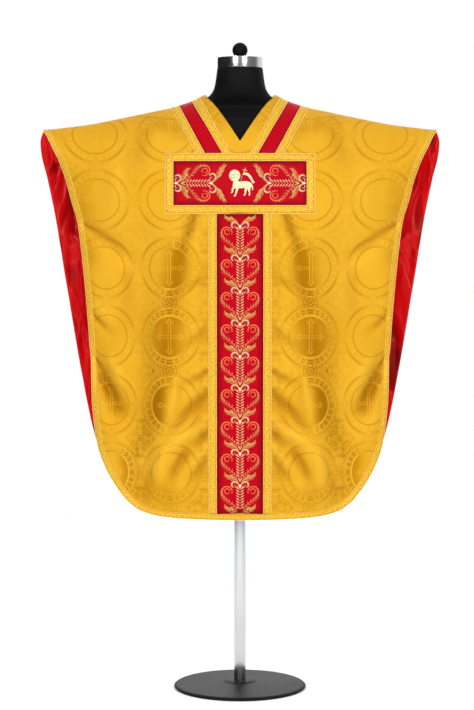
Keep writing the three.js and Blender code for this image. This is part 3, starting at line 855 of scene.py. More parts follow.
def frontPoints():
    columns, rows = panelMesh["columns"], panelMesh["rows"]
    seam = seamPath()
    point = atHeight(0, drapePlan["neckPoint"])
    slant = np.linspace(0, 1, pathPoints["slant"])[:-1, None] * (seam[0] - point) + point
    top = evenly(np.concatenate([slant, seam]), columns)
    side = evenly(sidePath(drapePlan["frontSide"], 1), rows)
    hem = evenly(hemPath(drapePlan["frontHem"], 1), columns)[::-1]
    return blended(top, side, hem, columns, rows)


def backPoints():
    columns, rows = panelMesh["columns"], panelMesh["rows"]
    seam = seamPath()
    neck = neckPath(*drapePlan["neckLine"])
    neck = neck[neck[:, 1] < seam[0, 1]][::-1]
    top = evenly(np.concatenate([neck, seam]), columns)
    side = evenly(sidePath(drapePlan["backSide"], -1), rows)
    hem = evenly(hemPath(drapePlan["backHem"], -1), columns)[::-1]
    return untangled(blended(top, side, hem, columns, rows))


# meshes


def facesOf(rows, columns):
    index = np.arange(rows * columns).reshape(rows, columns)
    return np.stack([index[:-1, :-1], index[1:, :-1], index[1:, 1:], index[:-1, 1:]], axis=-1).reshape(-1, 4)


def meshPiece(name, places, faces, materials, layer=None, flat=None):
    mesh = bpy.data.meshes.new(name)
    mesh.from_pydata([tuple(p) for p in places], [], [tuple(int(i) for i in face) for face in faces])
    if layer:
        loops = np.empty(len(mesh.loops), dtype=np.int32)
        mesh.loops.foreach_get("vertex_index", loops)
        values = np.asarray(flat)[loops].astype(np.float32).ravel()
        mesh.uv_layers.new(name=layer).data.foreach_set("uv", values)
    for material in materials:
        mesh.materials.append(material)
    mesh.shade_smooth()
    mesh.update()
    piece = bpy.data.objects.new(name, mesh)
    scene.collection.objects.link(piece)
    return piece


def clothPiece(name, points, offset, thickness, materials, layer, flat, rim=None):
    rows, columns = points.shape[:2]
    faces = facesOf(rows, columns)
    x, run = points.reshape(-1, 2)[faces].transpose(2, 0, 1)
    area = np.sum(x * np.roll(run, -1, axis=1) - np.roll(x, -1, axis=1) * run)
    if area > 0:
        faces = faces[:, ::-1]
    places = onCloth(points, np.float64(offset)).reshape(-1, 3)
    piece = meshPiece(name, places, faces, materials, layer, flat.reshape(-1, 2) * mm)
    wall = piece.modifiers.new("wall", "SOLIDIFY")
    wall.thickness = thickness * mm
    wall.offset = -1
    if len(materials) > 1:
        wall.material_offset = 1
    if layer == "cloth":
        wall.material_offset_rim = len(materials) - 1
    marks = {"rim": rim}
    if layer == "cloth":
        x, run = points[..., 0], points[..., 1]
        # marks of painted shading: the satin's painted shade and gloss in the folds, and the creases' painted
        # shade and highlight
        marks = {"play": paintedShadeAndGlossOf(x, run), "hollow": paintedCreaseShadingOf(x, run)}
    for mark, values in marks.items():
        attribute = piece.data.attributes.new(mark, "FLOAT", "POINT")
        attribute.data.foreach_set("value", np.asarray(values, dtype=np.float32).ravel())
    return piece


def strip(outer, inner, across, woven=None):  # a band between two paths with the same number of points
    share = np.linspace(0, 1, across + 1)[None, :, None]
    points = outer[:, None] * (1 - share) + inner[:, None] * share
    middle = points[:, across // 2]
    steps = np.hypot(*np.diff(middle, axis=0).T)
    along = np.concatenate([[0], np.cumsum(steps)])[:, None]
    full = np.hypot(*(outer - inner).T)[:, None] if woven is None else np.full((len(outer), 1), woven)
    width = full * share[..., 0]
    # the distance to the nearest edge, which the satin ribbon's finish turns into painted shade
    rim = np.minimum(np.minimum(width, full - width), np.minimum(along, along[-1] - along))
    return points, np.stack([width, np.broadcast_to(along, width.shape)], axis=-1), rim


def ridePiece(piece, slot, *nodes):
    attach(piece, "root")
    if nodes:
        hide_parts(*nodes)
    return piece


# how far outside the drape each layer's outer face lies, and how thick its wall is
layers = {"brocade": 1.6, "brocadeWall": 1.6, "lining": -0.3, "liningWall": 1.2, "trim": 3.1, "trimWall": 1.2}

grainSpacing = smoothCurve(((1507, 201), (1326, 190), (1144, 172), (955, 163), (775, 157), (500, 157)))


def panelFlat(points, way):  # cloth lengths that run level round the garment, for the woven pattern
    x, run = points[..., 0], points[..., 1]
    level = 1100.0
    height = level + runOf(x, ridgeHeight(np.abs(x)) - level) - way * run
    if way > 0:  # the grain draws together towards the sides of the hem
        z = ridgeHeight(np.abs(x)) - dropOf(x, run)
        pitch = brocadeLook["pitchAcross"]
        outside = np.maximum(np.abs(x) - pitch, 0)
        x = np.sign(x) * (np.minimum(np.abs(x), pitch) + outside * pitch / grainSpacing(z))
    return np.stack([x, height], axis=-1)


def makePanels(finishes):
    front, back = frontPoints(), backPoints()
    red = finishes["lining"]
    panels = []
    for name, points, way, layer, materials, node in (
        ("front_brocade", front, 1, "brocade", [finishes["brocadeFront"], red], "front_panel"),
        ("back_brocade", back, -1, "brocade", [finishes["brocadeBack"], red], "back_panel"),
        ("back_satin_lining", back, -1, "lining", [red], "back_lining"),
    ):
        flat = panelFlat(points, way)
        panel = clothPiece(name, points, layers[layer], layers[layer + "Wall"], materials, "cloth", flat)
        panels.append(ridePiece(panel, layer, node))
    print("panels: front, back and lining")
    return panels


# bands and galloon

columnPlan = {"half": 62.0, "width": 20.2, "bottomGap": 15.5}
crossbarPlan = {
    "half": 175.4,
    "top": 1425.4,
    "bottom": 1308.8,
    "scrollFrom": 167,  # the embroidery's collars stand this far from the middle
    "leafFrom": 76,
    "scrollStretch": (0.95, 1.04),
    "lambStretch": (0.94, 0.98),
    "lambDrop": 2,
}
trimGap = 0.2  # a hair between a band and its braid
trimSteps = {"column": 110, "bar": 90, "barBraid": 100, "barEnd": 40, "edge": 190}  # points along each
neckLines = {"inner": (108, 26), "bandInner": (128, 46), "bandOuter": (163, 92), "outer": (184, 115)}


def levelPath(fromX, toX, z, count):
    return atHeight(np.linspace(fromX, toX, count), z)


def uprightPath(x, fromZ, toZ, count):
    return atHeight(np.full(count, float(x)), np.linspace(fromZ, toZ, count))


# rimScale stretches the distance to the edges, which sets how far in the painted edge shade of the satin
# ribbons reaches
def trimPiece(name, outer, inner, material, slot, *nodes, across=4, rimScale=1.0):
    points, flat, rim = strip(outer, inner, across, galloonLook["width"] if slot == "galloon" else None)
    piece = clothPiece(name, points, layers["trim"], layers["trimWall"], [material], "band", flat,
                       rim * rimScale)
    return ridePiece(piece, slot, *nodes)


def makeColumn(galloon, ribbon):
    hemAt = smoothCurve(drapePlan["frontHem"])
    half, edge = columnPlan["half"], columnPlan["half"] + columnPlan["width"]
    top = drapePlan["frameBottom"] - 2 * trimGap
    lows = [float(hemAt(np.array(x))) + columnPlan["bottomGap"] + 2 * trimGap for x in (half, edge)]
    steps = trimSteps["column"]
    left, right = (uprightPath(x, top, lows[0], steps) for x in (-half + trimGap, half - trimGap))
    pieces = [trimPiece("column_satin", left, right, ribbon, "orphrey", "column_band", across=14,
                        rimScale=0.6)]
    edges = []
    for side, word in ((1, "right"), (-1, "left")):
        inner = uprightPath(side * half, top, lows[0], steps)
        outer = uprightPath(side * edge, top, lows[1], steps)
        name = f"column_galloon_braid_{word}"
        pieces.append(trimPiece(name, outer, inner, galloon, "galloon", f"column_galloon_{word}"))
        edges += [inner, outer]
    return pieces, edges


def makeCrossbar(galloon, ribbon):
    half, top, bottom = crossbarPlan["half"], crossbarPlan["top"], crossbarPlan["bottom"]
    upper, lower = (levelPath(trimGap - half, half - trimGap, z, trimSteps["bar"])
                    for z in (top - trimGap, bottom + trimGap))
    pieces = [trimPiece("crossbar_satin", upper, lower, ribbon, "orphrey", "crossbar_band", across=26,
                        rimScale=0.75)]
    wide = half + galloonLook["width"]
    high, low = drapePlan["frameTop"], drapePlan["frameBottom"]
    long, short = trimSteps["barBraid"], trimSteps["barEnd"]
    sides = {
        "top": (levelPath(-wide, wide, high, long), levelPath(-half, half, top, long)),
        "bottom": (levelPath(wide, -wide, low, long), levelPath(half, -half, bottom, long)),
        "right": (uprightPath(wide, high, low, short), uprightPath(half, top, bottom, short)),
        "left": (uprightPath(-wide, low, high, short), uprightPath(-half, bottom, top, short)),
    }
    edges = []
    for word, (outer, inner) in sides.items():
        name = f"crossbar_galloon_{word}"
        pieces.append(trimPiece(name, outer, inner, galloon, "galloon", "crossbar_galloon"))
        edges += [outer, inner]
    return pieces, edges


def makeShoulders(galloon, ribbon):
    paths = {word: mirroredPath(neckPath(*line)) for word, line in neckLines.items()}
    inner, bandInner, bandOuter, outer = paths.values()
    pieces = [
        trimPiece("shoulder_satin", bandOuter, bandInner, ribbon, "orphrey", "shoulder_band",
                  across=6, rimScale=2.4),
        trimPiece("shoulder_galloon_neckward", bandInner, inner, galloon, "galloon",
                  "shoulder_galloon_inner"),
        trimPiece("shoulder_galloon_sleeveward", outer, bandOuter, galloon, "galloon",
                  "shoulder_galloon_outer"),
    ]
    return pieces, list(paths.values())


def makeTrims(finishes):
    galloon, ribbon = finishes["galloon"], finishes["ribbon"]
    edges = []
    pieces = []
    for make in (makeColumn, makeCrossbar, makeShoulders):
        made, madeEdges = make(galloon, ribbon)
        pieces += made
        edges += madeEdges

    backPieces = []
    for word, way in (("front", 1), ("back", -1)):
        hem = hemPath(drapePlan[word + "Hem"], way)[1:]
        outline = np.concatenate([sidePath(drapePlan[word + "Side"], way), hem])
        outline = mirroredPath(evenly(outline, trimSteps["edge"]))
        if way < 0:
            outline = insetPath(outline, -galloonLook["backInset"])
        inner = insetPath(outline, galloonLook["edgeWidth"] * way)
        piece = trimPiece(f"{word}_edge_braid", outline, inner, galloon, "galloon", f"edge_galloon_{word}")
        (pieces if way > 0 else backPieces).append(piece)
        edges += [outline]
    print("trims:", len(pieces) + len(backPieces), "bands and lengths of galloon")
    return pieces, backPieces, edges


# trees that place a copy at each point of a line


def placingTree(name, material, inputs, nodes, settings, links):
    tree = bpy.data.node_groups.new(name, "GeometryNodeTree")
    for word, kind in (("Geometry", "NodeSocketGeometry"), *inputs):
        tree.interface.new_socket(name=word, in_out="INPUT", socket_type=kind)
    tree.interface.new_socket(name="Geometry", in_out="OUTPUT", socket_type="NodeSocketGeometry")
    nodes = {"in": "NodeGroupInput", "place": "GeometryNodeInstanceOnPoints",
             "real": "GeometryNodeRealizeInstances", "paint": "GeometryNodeSetMaterial",
             "out": "NodeGroupOutput", **nodes}
    made = {word: tree.nodes.new(kind) for word, kind in nodes.items()}
    for word, (setting, value) in settings.items():
        setattr(made[word], setting, value)
    made["paint"].inputs["Material"].default_value = material
    links += (("place", "Instances", "real", "Geometry"), ("real", "Geometry", "paint", "Geometry"),
              ("paint", "Geometry", "out", "Geometry"))
    for fromNode, output, toNode, target in links:
        tree.links.new(made[fromNode].outputs[output], made[toNode].inputs[target])
    return tree, made


def grown(piece, name, tree, **sizes):  # what the tree makes of the piece, as a plain mesh in its place
    modifier = piece.modifiers.new("copies", "NODES")
    modifier.node_group = tree
    for word, size in sizes.items():
        socket = next(item.identifier for item in tree.interface.items_tree if item.name == word)
        modifier[socket] = size
    graph = bpy.context.evaluated_depsgraph_get()
    mesh = bpy.data.meshes.new_from_object(piece.evaluated_get(graph))
    result = bpy.data.objects.new(name, mesh)
    scene.collection.objects.link(result)
    bpy.data.objects.remove(piece)
    return result


# picots: small loops along both edges of the braid, and on the sides and hem along the outline only

picotPlan = {"pitch": 3.1, "length": 1.4, "breadth": 0.95, "height": 0.7, "lift": 3.1}


def picotTree(material):
    nodes = {"curve": "GeometryNodeMeshToCurve", "even": "GeometryNodeResampleCurve",
             "tangent": "GeometryNodeInputTangent", "align": "FunctionNodeAlignRotationToVector",
             "bead": "GeometryNodeMeshIcoSphere"}
    links = (("in", "Geometry", "curve", "Mesh"), ("curve", "Curve", "even", "Curve"),
             ("in", "Pitch", "even", "Length"), ("even", "Curve", "place", "Points"),
             ("tangent", "Tangent", "align", "Vector"), ("align", "Rotation", "place", "Rotation"),
             ("bead", "Mesh", "place", "Instance"), ("in", "Size", "place", "Scale"))
    inputs = (("Pitch", "NodeSocketFloat"), ("Size", "NodeSocketVector"))
    settings = {"even": ("mode", "LENGTH"), "align": ("axis", "X")}
    tree, made = placingTree("picots along an edge", material, inputs, nodes, settings, links)
    made["bead"].inputs["Radius"].default_value = 1.0
    made["bead"].inputs["Subdivisions"].default_value = 1
    return tree


def makePicots(edges, material):
    places, lines = [], []
    for path in edges:
        start = len(places)
        places += [tuple(p) for p in onCloth(path, np.float64(picotPlan["lift"]))]
        lines += [(i, i + 1) for i in range(start, len(places) - 1)]
    mesh = bpy.data.meshes.new("galloon_edges")
    mesh.from_pydata(places, lines, [])
    piece = bpy.data.objects.new("galloon_edges", mesh)
    scene.collection.objects.link(piece)
    size = tuple(picotPlan[key] * mm for key in ("length", "breadth", "height"))
    result = grown(piece, "galloon_picots", picotTree(material), Pitch=picotPlan["pitch"] * mm, Size=size)
    result.data.shade_smooth()
    print("picots:", len(result.data.polygons), "faces")
    return ridePiece(result, "galloon")


# embroidery

threads = {
    "gold": linear(204, 152, 58),
    "amber": linear(226, 132, 50),
    "olive": linear(150, 112, 42),
    "salmon": linear(244, 122, 58),
    "coral": linear(250, 118, 36),
    "blush": linear(238, 176, 146),
    "cream": linear(255, 242, 190),
    "ivory": linear(226, 188, 136),
    "chevron": linear(255, 236, 184),
    "umber": linear(96, 62, 34),
    "wine": linear(92, 2, 20),
}

# a strip's cross section: out to each side as a share of its half width, and up as a share of its height
stitchSection = ((-1, -0.3), (-0.62, 0.78), (0, 1), (0.62, 0.78), (1, -0.3))
dotSides = 14


class Needlework:  # satin-stitched strips, in the motif's own millimetres
    def __init__(self):
        self.places, self.faces, self.colours, self.flat = [], [], [], []

    def strip(self, path, widths, thread, height=0.9, steps=6):
        path = np.array(path, dtype=float)
        knots = np.arange(len(path), dtype=float)
        fine = np.linspace(0, len(path) - 1, steps * (len(path) - 1) + 1)
        centre = np.stack([smoothCurve(list(zip(knots, path[:, axis])))(fine) for axis in (0, 1)], axis=-1)
        width = np.interp(fine, np.linspace(0, len(path) - 1, len(widths)), widths) / 2
        turn = np.gradient(centre, axis=0)
        turn /= np.maximum(np.hypot(*turn.T), 1e-9)[:, None]
        side = np.stack([-turn[:, 1], turn[:, 0]], axis=-1)
        along = np.concatenate([[0], np.cumsum(np.hypot(*np.diff(centre, axis=0).T))])
        start = len(self.places)
        for i, point in enumerate(centre):
            rise = height * min(1.0, 0.45 + width[i] / 1.6)  # a narrow strip lies flatter
            for out, up in stitchSection:
                self.places.append((*(point + side[i] * width[i] * out), rise * up))
                self.flat.append(((out + 1) * width[i] * mm, along[i] * mm))
                self.colours.append(threads[thread])
        n = len(stitchSection)
        for i in range(len(centre) - 1):
            for j in range(n):
                a, b = start + i * n + j, start + i * n + (j + 1) % n
                self.faces.append((a, b, b + n, a + n))
        last = start + (len(centre) - 1) * n
        self.faces.append(tuple(range(start + n - 1, start - 1, -1)))
        self.faces.append(tuple(range(last, last + n)))

    def dot(self, x, y, radius, thread, height=0.9, rings=((1, -0.3), (0.8, 0.7), (0.35, 1))):
        start = len(self.places)
        for share, up in rings:
            for i in range(dotSides):
                angle = 2 * math.pi * i / dotSides
                reach = radius * share
                place = (x + reach * math.cos(angle), y + reach * math.sin(angle), height * up)
                self.places.append(place)
                self.flat.append((place[0] * mm, place[1] * mm))
                self.colours.append(threads[thread])
        for r in range(len(rings) - 1):
            for i in range(dotSides):
                a, b = start + r * dotSides + i, start + r * dotSides + (i + 1) % dotSides
                self.faces.append((a, b, b + dotSides, a + dotSides))
        self.faces.append(tuple(range(start + dotSides - 1, start - 1, -1)))
        top = start + (len(rings) - 1) * dotSides
        self.faces.append(tuple(range(top, top + dotSides)))

    def pair(self, path, *rest, **more):
        self.strip(path, *rest, **more)
        self.strip([(-x, y) for x, y in path], *rest, **more)

    def laid(self, name, place, material):  # place takes the motif's (s, t) to cloth points
        points = np.array(self.places)
        flatPoints = place(points[:, 0], points[:, 1])
        where = onCloth(flatPoints, layers["trim"] + points[:, 2])
        piece = meshPiece(name, where, self.faces, [material], "stitch", self.flat)
        colour = piece.data.color_attributes.new("thread", "FLOAT_COLOR", "POINT")
        colour.data.foreach_set("color", np.array(self.colours, dtype=np.float32).ravel())
        return piece


unitPlan = {"length": 85.6, "count": 8, "chevronPitch": 7.3, "chevrons": (25, 77), "firstCollar": 1253.2}


def collar(work, size=1.0):
    def scaled(points):
        return [(x * size, y * size) for x, y in points]

    work.pair(scaled([(2, 1), (7, 8), (13, 11.4), (19, 9.8), (22, 4.5), (21, -1), (17, -4)]),
              [2.0, 3.8, 4.8, 5.4, 5.0, 3.6, 1.2], "ivory")
    work.pair(scaled([(9, 9.5), (14, 12.6), (20, 11), (23.6, 5)]), [0.6, 1.2, 1.2, 0.5], "blush", height=1.3)
    work.pair(scaled([(4, -1.5), (9, -3), (13.2, -1), (14.4, 3)]), [1.8, 2.6, 2.2, 0.9], "blush")
    for x in (-12.6, 12.6):
        work.dot(x * size, 4.4 * size, 3.2 * size, "wine", 0.4)
    work.strip(scaled([(0, -6), (0, 0), (0, 5)]), [1.5, 8.4, 1.5], "cream", height=1.2)


def acanthus(work, rise=1.0, low=0.0):
    def scaled(points):
        return [(x, y * rise) for x, y in points if y >= low]

    work.pair(scaled([(3, 5), (10, 16), (21, 23), (32, 26), (38.5, 31), (40.5, 37)]),
              [1.8, 4.6, 7.4, 6.4, 4.4, 1.0], "gold", height=1.1)
    work.pair(scaled([(6, 10), (13, 17.5), (22, 22), (32, 25.5)]), [0.6, 1.4, 1.4, 0.6], "olive", height=1.45)
    work.pair(scaled([(15, 17), (22, 15.8), (28, 17.4)]), [3.2, 3.4, 0.7], "amber")
    work.pair(scaled([(24, 21), (31, 19.6), (38, 22.6)]), [3.4, 3.6, 0.7], "amber")
    work.pair(scaled([(32, 26), (38, 25.4), (43, 29)]), [3.0, 3.0, 0.7], "amber")
    work.pair(scaled([(18, 23), (21.5, 28), (27, 30.5)]), [2.8, 2.6, 0.6], "ivory")


def herringbone(work):
    for t in np.arange(*unitPlan["chevrons"], unitPlan["chevronPitch"]):
        work.pair([(0.2, t), (2.6, t + 1.6), (4.6, t + 3)], [1.5, 1.9, 1.9], "gold", 0.5, 3)
        work.pair([(3.8, t + 2.2), (6.6, t + 4.2), (9.8, t + 6.8)], [2.2, 2.3, 0.9], "chevron", 0.9, 3)


def barbs(work, path, low, high, count, length):  # short stitches on both sides of a stem
    knots = np.arange(len(path), dtype=float)
    at = [smoothCurve([(k, point[axis]) for k, point in zip(knots, path)]) for axis in (0, 1)]
    for k in np.linspace(low, high, count):
        here = np.array([float(f(k)) for f in at])
        ahead = np.array([float(f(k + 0.1)) for f in at]) - here
        ahead /= np.hypot(*ahead)
        side = np.array([-ahead[1], ahead[0]])
        reach = length * (1 - 0.35 * abs(2 * (k - low) / (high - low) - 1))
        for way, thread in ((1, "ivory"), (-1, "amber")):
            tip = here + (ahead * 0.72 + side * way * 0.8) * reach
            work.pair([tuple(here), tuple(here + (ahead * 0.3 + side * way * 0.45) * reach), tuple(tip)],
                      [1.0, 1.3, 0.4], thread, steps=3)


def scrolls(work):
    outer = [(47.5, 60), (49, 68), (47, 77), (40.5, 83.2), (32.5, 84), (25, 80), (21, 72.5), (21.6, 65.5)]
    work.pair(outer, [2.4, 2.8, 3.0, 3.0, 2.9, 2.7, 2.4, 1.2], "salmon", steps=5)
    inner = [(27.6, 68), (33.4, 64.8), (39.4, 68), (40.4, 74.4), (35.6, 78.6), (29.8, 76.8), (28, 71.6)]
    work.pair(inner, [1.2, 2.1, 2.4, 2.5, 2.5, 2.3, 1.4], "coral", steps=5)
    path = [(7, 14), (11, 24), (20.5, 37), (33, 46), (43, 53.5), (47.5, 61)]
    work.pair(path, [1.0, 1.6, 1.8, 1.8, 2.0, 2.3], "amber")
    barbs(work, path, 0.9, 4.9, 8, 8.6)
    barbs(work, outer, 0.15, 1.7, 3, 5.5)


def unit(work):
    collar(work)
    acanthus(work)
    scrolls(work)
    work.pair([(0.5, 12), (2.6, 18), (5.2, 24)], [1.2, 2.2, 0.6], "cream")
    herringbone(work)


def columnPlace(collarHeight):
    return lambda s, t: atHeight(s, collarHeight + t)


def repeatTree(material):
    nodes = {"line": "GeometryNodeMeshLine"}
    links = (("in", "Count", "line", "Count"), ("in", "Step", "line", "Offset"),
             ("line", "Mesh", "place", "Points"), ("in", "Geometry", "place", "Instance"))
    inputs = (("Count", "NodeSocketInt"), ("Step", "NodeSocketVector"))
    return placingTree("repeats down a band", material, inputs, nodes, {"line": ("mode", "OFFSET")}, links)[0]


def makeColumnEmbroidery(material):
    length, count = unitPlan["length"], unitPlan["count"]
    work = Needlework()
    unit(work)
    piece = work.laid("unit", columnPlace(unitPlan["firstCollar"] - length), material)
    step = (0.0, 0.0, -length * mm)
    tree = repeatTree(material)
    pieces = [grown(piece, "column_embroidery", tree, Count=count, Step=step)]
    print("column embroidery:", len(pieces[0].data.polygons), "faces")

    head = Needlework()
    collar(head)
    acanthus(head, rise=0.86)
    pieces.append(head.laid("column_embroidery_head", columnPlace(unitPlan["firstCollar"]), material))
    foot = Needlework()
    scrolls(foot)
    acanthus(foot, low=9)
    herringbone(foot)
    last = unitPlan["firstCollar"] - (count + 1) * length
    pieces.append(foot.laid("column_embroidery_foot", columnPlace(last), material))
    return [ridePiece(piece, "orphrey") for piece in pieces]


def leaf(work):  # beside the lamb
    work.pair([(3, 6), (13, 15), (26, 23), (37, 28), (44, 36), (49.5, 41)],
              [1.8, 4.8, 8.2, 7.6, 5.0, 1.0], "gold", height=1.1)
    work.pair([(8, 11), (17, 17), (28, 24), (39, 30)], [0.6, 1.5, 1.5, 0.6], "olive", height=1.45)
    for path, widths, thread in (
        ([(15, 17), (19, 24), (26, 29)], [3.0, 3.4, 0.7], "ivory"),
        ([(26, 24), (31, 31), (38, 35)], [3.2, 3.4, 0.7], "ivory"),
        ([(20, 18), (28, 16.6), (36, 20)], [3.4, 3.6, 0.7], "amber"),
        ([(30, 24), (38, 22.6), (46, 27)], [3.4, 3.6, 0.7], "amber"),
        ([(40, 31), (46, 31.6), (52, 36)], [3.0, 3.2, 0.7], "amber"),
    ):
        work.pair(path, widths, thread)


lambPlan = {
    "head": (-15, 22),
    "halo": 16,
    "rays": 12,
    "rayFrom": 11.6,
    "rayTo": 14.8,
    "fleece": ((-8, 0), (0, -2), (8, 1), (16, -1), (24, -4), (-2, -9), (7, -8), (-12, 7), (15, -8),
               (22, -10)),
}


def lamb(work):  # it stands in the middle with its banner, in this scene's own drawing
    x, y = lambPlan["head"]
    work.dot(x, y, lambPlan["halo"], "cream", 0.7, ((1, -0.3), (0.96, 0.9), (0.5, 1)))
    for i in range(lambPlan["rays"]):
        angle = math.pi * (2 * i + 1) / lambPlan["rays"]
        root, tip = ((x + reach * math.cos(angle), y + reach * math.sin(angle))
                     for reach in (lambPlan["rayFrom"], lambPlan["rayTo"]))
        work.strip([root, tip], [0.8, 1.4], "ivory", 1.2, 3)
    for path, widths, thread, height in (
        ([(-20, -1), (-9, -3), (4, -2.6), (17, -2.4), (27, -5), (31, -9)], [13, 22, 20.5, 22, 19, 9],
         "cream", 1.5),
        ([(-9, 1), (-13, 10), (-15, 19)], [17, 13, 10], "cream", 1.6),
        ([(-10.5, 22.5), (-17, 22), (-25, 17)], [9.5, 9.5, 4.5], "cream", 2.0),
        ([(-9, 15.5), (-17, 16.8), (-25.6, 14.2), (-27.6, 17)], [1.0, 1.7, 1.5, 0.8], "olive", 2.2),
        ([(-26.6, 19.6), (-20, 25.4), (-11, 27.6)], [0.8, 1.3, 0.8], "gold", 2.2),
        ([(-11, 26), (-6.2, 25), (-3, 20.5)], [2.6, 3.6, 1.4], "ivory", 2.3),
    ):
        work.strip(path, widths, thread, height)
    work.dot(-18, 22.4, 1.9, "umber", 2.5)
    work.dot(-24.6, 17.8, 1.4, "umber", 2.4)
    for path, widths in (
        (((-14, -8), (-21, -14), (-20.5, -20), (-25, -24)), (8, 6, 4, 4)),
        (((-7, -10), (-10, -20), (-14, -31), (-17, -32.5)), (8.5, 5.8, 4.2, 4)),
        (((19, -10), (15, -18), (14.5, -26), (11, -31)), (9.5, 6.4, 4.2, 4)),
        (((26, -9), (25, -18), (27, -25), (25, -31)), (9, 6, 4.2, 4)),
        (((29, -4), (34.5, -8), (34.5, -17)), (3.6, 5, 2.6)),
    ):
        work.strip(path, widths, "cream", 1.2)
    for x, y in lambPlan["fleece"]:
        work.strip([(x - 2.4, y - 1), (x - 1.6, y + 1.6), (x + 1.2, y + 1.4), (x + 1.4, y - 0.8)],
                   [0.7, 1.4, 1.4, 0.7], "ivory", 2.1, 4)
    work.strip([(-2, -10), (4, 13), (11, 36)], [1.5, 1.5, 1.5], "ivory", 2.3)
    work.strip([(11, 30), (15.4, 43)], [1.7, 1.7], "cream", 2.3, 3)
    work.strip([(7, 38.4), (20, 34.8)], [1.7, 1.7], "cream", 2.4, 3)
    work.strip([(8, 27), (19, 26), (28.5, 18), (38, 2)], [5, 8.4, 8.0, 5.6], "cream", 1.2)
    work.strip([(35, 7), (42, 4.5)], [4, 0.8], "cream", 1.2, 3)
    work.strip([(13, 28.5), (23, 23), (31.5, 11.5)], [1.0, 1.4, 1.0], "gold", 1.7)


def makeCrossbarEmbroidery(material):
    plan = crossbarPlan
    middle = (plan["top"] + plan["bottom"]) / 2
    wide, long = plan["scrollStretch"]
    pieces = []
    for way, word in ((1, "right"), (-1, "left")):
        def scrollPlace(s, t):
            return atHeight(way * (plan["scrollFrom"] - t * long), middle + s * wide)

        def leafPlace(s, t):
            return atHeight(way * (plan["leafFrom"] - t), middle + s)

        outer, inner = Needlework(), Needlework()
        unit(outer)
        collar(inner, 1.1)
        leaf(inner)
        pieces.append(outer.laid(f"crossbar_scroll_{word}", scrollPlace, material))
        pieces.append(inner.laid(f"crossbar_leaf_{word}", leafPlace, material))

    def lambPlace(s, t):
        return atHeight(s * plan["lambStretch"][0], middle - plan["lambDrop"] + t * plan["lambStretch"][1])

    figure = Needlework()
    lamb(figure)
    pieces.append(figure.laid("crossbar_lamb", lambPlace, material))
    print("crossbar embroidery:", sum(len(p.data.polygons) for p in pieces), "faces")
    return [ridePiece(piece, "orphrey") for piece in pieces]


# the dress form and its stand

formPlan = {
    "rings": (  # height, half width, half depth
        (850, 164, 92), (862, 174, 100), (930, 180, 108), (1010, 174, 104), (1100, 164, 96), (1200, 178, 103),
        (1310, 196, 108), (1390, 207, 102), (1460, 215, 86), (1515, 218, 66), (1545, 213, 52),
        (1560, 198, 40), (1572.9, 162, 32), (1586, 118, 38), (1602, 84, 50), (1622, 70, 60),
        (1650, 64.5, 64.5), (1676.7, 61, 61),
    ),
    "underside": (0.3, 0.9, 0.985),  # smaller copies of the lowest ring
    "squareness": 0.9,
    "around": 96,
    "between": 6,
    "neckRing": ((8, 1677), (61.9, 1677), (61.9, 1705), (8, 1705)),  # profiles: radius, height
    "pole": ((3, 20.3), (16, 20.3), (16, 849.7), (3, 849.7)),
    "base": ((20, 0), (178, 0), (180, 5), (174, 9), (120, 12), (46, 15), (34, 20), (18, 20)),
    "ball": (20.5, 1725, 1705.3),  # radius, and the heights of its middle and its seat
}


def closedLoft(name, rings, material):
    count = len(rings[0])
    places = np.concatenate(rings) * mm
    index = np.arange(len(rings) * count).reshape(len(rings), count)
    faces = []
    for low, high in zip(index[:-1], index[1:]):
        faces += [(low[i], low[(i + 1) % count], high[(i + 1) % count], high[i]) for i in range(count)]
    faces.append(tuple(index[0][::-1]))
    faces.append(tuple(index[-1]))
    return meshPiece(name, places, faces, [material])


def turnedPiece(name, profile, material, around):
    angle = np.linspace(0, 2 * math.pi, around, endpoint=False)
    x, y = np.cos(angle), np.sin(angle)
    rings = [np.stack([r * x, r * y, np.full(around, z)], axis=-1) for r, z in profile]
    return closedLoft(name, rings, material)


def rounded(profile, radius, steps=4):  # eases each corner of a profile
    points = [Vector(p) for p in profile]
    result = [points[0]]
    for before, here, after in zip(points, points[1:], points[2:]):
        one, two = before - here, after - here
        reach = min(radius, one.length * 0.45, two.length * 0.45)
        start, end = here + one.normalized() * reach, here + two.normalized() * reach
        for i in range(steps + 1):
            t = i / steps
            result.append(start * (1 - t) ** 2 + here * 2 * t * (1 - t) + end * t * t)
    return [tuple(p) for p in (*result, points[-1])]


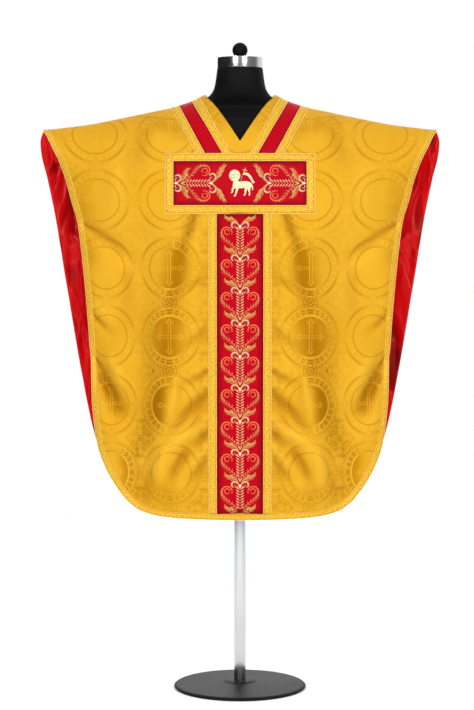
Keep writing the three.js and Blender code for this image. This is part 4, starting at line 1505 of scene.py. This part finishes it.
def makeForm(finishes):
    table = np.array(formPlan["rings"], dtype=float)
    knots = np.arange(len(table), dtype=float)
    fine = np.linspace(0, len(table) - 1, formPlan["between"] * (len(table) - 1) + 1)
    z, half, deep = (np.interp(fine, knots, table[:, i]) if i == 0 else
                     smoothCurve(list(zip(knots, table[:, i])))(fine) for i in range(3))
    angle = np.linspace(0, 2 * math.pi, formPlan["around"], endpoint=False)
    x, y = (np.sign(way) * np.abs(way) ** formPlan["squareness"] for way in (np.cos(angle), np.sin(angle)))
    rings = [np.stack([a * x, b * y, np.full_like(x, h)], axis=-1) for h, a, b in zip(z, half, deep)]
    low = [rings[0] * (s, s, 1) for s in formPlan["underside"]]
    body = closedLoft("form_shell", low + rings, finishes["shell"])
    ridePiece(body, "form_shell", "form_body")

    radius, middle, seat = formPlan["ball"]
    turns = np.linspace(math.acos((middle - seat) / radius), math.pi - 0.02, 26)
    ball = [(1, seat)] + [(radius * math.sin(a), middle - radius * math.cos(a)) for a in turns]
    for name, profile, finish, around, slot, node in (
        ("form_neck_ring", rounded(formPlan["neckRing"], 0.8), "chrome", 96, "bright_metal",
         "form_neck_band"),
        ("form_ball", ball, "shell", 64, "form_shell", "form_knob"),
        ("stand_pole", rounded(formPlan["pole"], 0.8), "chrome", 48, "bright_metal", "form_pole"),
        ("stand_base", rounded(formPlan["base"], 4.0), "base", 120, "base_paint", "form_base"),
    ):
        ridePiece(turnedPiece(name, profile, finishes[finish], around), slot, node)
    print("form: body, neck ring, ball, pole and base")


# everything

addCamera("camera")
addStudio()
finishes = {
    "brocadeFront": brocadeFinish("gold_brocade_front", 0),
    "brocadeBack": brocadeFinish("gold_brocade_back", 64),
    "lining": liningFinish(),
    "ribbon": ribbonFinish(),
    "galloon": galloonFinish(),
    "picot": picotFinish(),
    "thread": threadFinish(),
    "shell": shellFinish("form_black", linear(11, 11, 12), 260.0, 0.5),
    "base": shellFinish("base_black_paint", linear(17, 17, 18), 900.0, 0.4),
    "chrome": metalFinish(linear(212, 214, 218), linear(186, 189, 194)),
}
print("finishes:", len(finishes))

frontPanel, backPanel, liningPanel = makePanels(finishes)
frontTrims, backTrims, galloonEdges = makeTrims(finishes)
picots = makePicots(galloonEdges, finishes["picot"])
embroidery = makeColumnEmbroidery(finishes["thread"]) + makeCrossbarEmbroidery(finishes["thread"])
makeForm(finishes)


def faceArea(piece):
    return sum(polygon.area for polygon in piece.data.polygons)


print("areas:", [round(faceArea(p), 4) for p in (frontPanel, backPanel, liningPanel)])

floorPlan = {"radius": 3.4, "around": 96, "tones": (linear(246, 246, 246), linear(248, 248, 248))}
floorTurns = np.linspace(0, 2 * math.pi, floorPlan["around"] + 1)[:-1]
floorRing = [(floorPlan["radius"] * math.cos(a), floorPlan["radius"] * math.sin(a), 0) for a in floorTurns]
floorFinish = Finish("pale_floor", Specular_IOR_Level=0.1, Roughness=0.8)
floorTone = floorFinish.mix(floorFinish.noise(1.5, 2.0), *floorPlan["tones"])
floor = meshPiece("floor", floorRing, [range(floorPlan["around"])], [floorFinish.feed(Base_Color=floorTone)])
